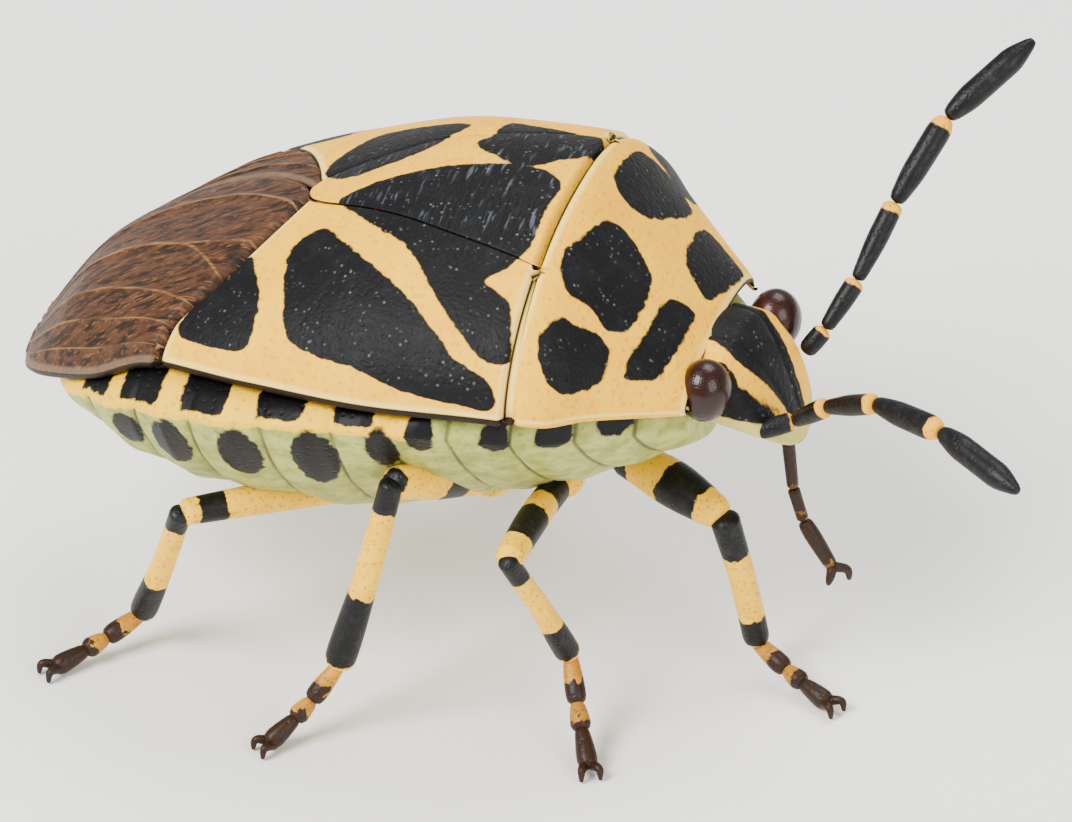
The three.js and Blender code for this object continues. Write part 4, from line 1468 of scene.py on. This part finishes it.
    def fork(self, end: Array, turn: int) -> Piece:
        """One prong of the beak's tip."""
        line = [end] + [end + (self.FORK_X + x * turn, y * turn, z) for x, y, z in self.FORK]
        return limb("fork", line, self.FORK_RADII, ALL_DARK, rings=12)

    def build(self) -> None:
        """Makes and dresses all limbs."""
        shell = LimbFinish("banded_leg_shell", "#ffc60a", "#08080a", 0.1).material()
        foot = LimbFinish("tan_to_brown_foot_shell", "#a5701c", "#2b1606", 0.25).material()
        feeler = LimbFinish("black_feeler_shell", "#f7ae00", "#08080a", 0.05).material()
        beak = LimbFinish("brown_beak_shell", "#54300f", "#2a1707", 0.4, 0.45).material()
        for leg in LEGS:
            self.leg(leg, shell, foot)
        for side, joints in self.FEELERS.items():
            for i, line in enumerate(zip(joints, joints[1:])):
                name = f"feeler_piece_{side.word}_{i + 1}"
                piece = limb(name, list(line), self.FEELER_RADII[i], self.FEELER_BANDS[i], rings=40)
                self.builder.show(piece, feeler, "black_feeler", f"feeler_{side.word}_{i + 1}")
        for i, line in enumerate(zip(self.BEAK, self.BEAK[1:])):
            name = f"beak_piece_{i + 1}"
            parts = [limb(name, list(line), self.BEAK_RADII[i], self.BEAK_BANDS, rings=30)]
            if i == len(self.BEAK_RADII) - 1:
                parts += [self.fork(np.array(line[1]), turn) for turn in (-1, 1)]
            self.builder.show(merged(parts), beak, "brown_beak", f"beak_{i + 1}")


# ---------------------------------------------------------------- stage


@dataclass(frozen=True)
class Studio:
    """Camera, floor and soft light, placed from the photo's view of the body."""

    azimuth: float = math.radians(17.3)
    elevation: float = math.radians(33.7)
    distance: float = 131.1
    right: float = 1.043
    down: float = 1.062
    lens: float = 354.5
    sensor: float = 36.0
    floor_reach: float = 600.0
    aim_height: float = 4.0
    room_light: float = 0.62
    LAMPS: ClassVar = (
        ("key_lamp", (-55, -70, 95), 60, 0.3),
        ("fill_lamp", (90, -60, 60), 70, 0.1),
        ("top_lamp", (10, 50, 110), 70, 0.12),
    )

    def axes(self) -> tuple[Array, Array, Array]:
        """Unit vectors of the view: to the right, up and back to the camera."""
        a, e = self.azimuth, self.elevation
        right = np.array((math.cos(a), math.sin(a), 0))
        back = np.array((math.sin(a) * math.cos(e), -math.cos(a) * math.cos(e), math.sin(e)))
        return right, np.cross(back, right), back

    def camera(self, placer: Placer) -> None:
        """Makes the camera."""
        right, up, back = self.axes()
        aim = right * self.right - up * self.down
        data = bpy.data.cameras.new("photo_camera")
        data.lens, data.sensor_width = self.lens, self.sensor
        data.clip_start, data.clip_end = 0.01, 10.0
        camera = bpy.data.objects.new("photo_camera", data)
        camera.location = Vector(placer.row(aim + back * self.distance))
        camera.rotation_mode = "QUATERNION"
        camera.rotation_quaternion = Vector(-back).to_track_quat("-Z", "Y")
        bpy.context.scene.collection.objects.link(camera)
        bpy.context.scene.camera = camera

    def lamp(self, name: str, place: Point, size: float, power: float) -> None:
        """One soft square lamp that shines on the bug; places and sizes in millimetres."""
        data = bpy.data.lights.new(name, "AREA")
        data.size, data.energy = size * MM, power
        lamp = bpy.data.objects.new(name, data)
        lamp.location = Vector(place) * MM
        lamp.rotation_mode = "QUATERNION"
        aim = Vector((0, 0, self.aim_height * MM)) - lamp.location
        lamp.rotation_quaternion = aim.to_track_quat("-Z", "Y")
        bpy.context.scene.collection.objects.link(lamp)

    def floor(self) -> None:
        """Plain pale floor."""
        reach = self.floor_reach * MM
        corners = [(-reach, -reach, 0), (reach, -reach, 0), (reach, reach, 0), (-reach, reach, 0)]
        mesh = bpy.data.meshes.new("studio_floor")
        mesh.from_pydata(corners, [], [(0, 1, 2, 3)])
        tree = Tree("matt_pale_paper")
        tint = tree.mix(tree.noise(3.0), srgb("#fbfaf6"), srgb("#f7f5f0"))
        mesh.materials.append(tree.finish(tint, 0.9, tree.noise(0.2), 0.005, 0.5))
        floor = bpy.data.objects.new("studio_floor", mesh)
        bpy.context.scene.collection.objects.link(floor)

    def build(self, placer: Placer) -> None:
        """Makes the stage."""
        self.camera(placer)
        self.floor()
        for name, place, size, power in self.LAMPS:
            self.lamp(name, place, size, power)
        world = bpy.data.worlds.new("soft_room")
        world.use_nodes = True
        shade = world.node_tree.nodes["Background"]
        shade.inputs["Color"].default_value = srgb("#f4f5f6")
        shade.inputs["Strength"].default_value = self.room_light
        bpy.context.scene.world = world


def main() -> None:
    """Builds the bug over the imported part, then the stage."""
    logging.basicConfig(level=logging.INFO, format="%(message)s")
    for old in list(bpy.data.objects):
        bpy.data.objects.remove(old)
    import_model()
    placer = Placer()
    builder = Builder(placer)
    Back(builder).build()
    Underside(builder).build()
    Head(builder).build()
    Limbs(builder).build()
    Studio().build(placer)


if __name__ == "__main__":
    main()
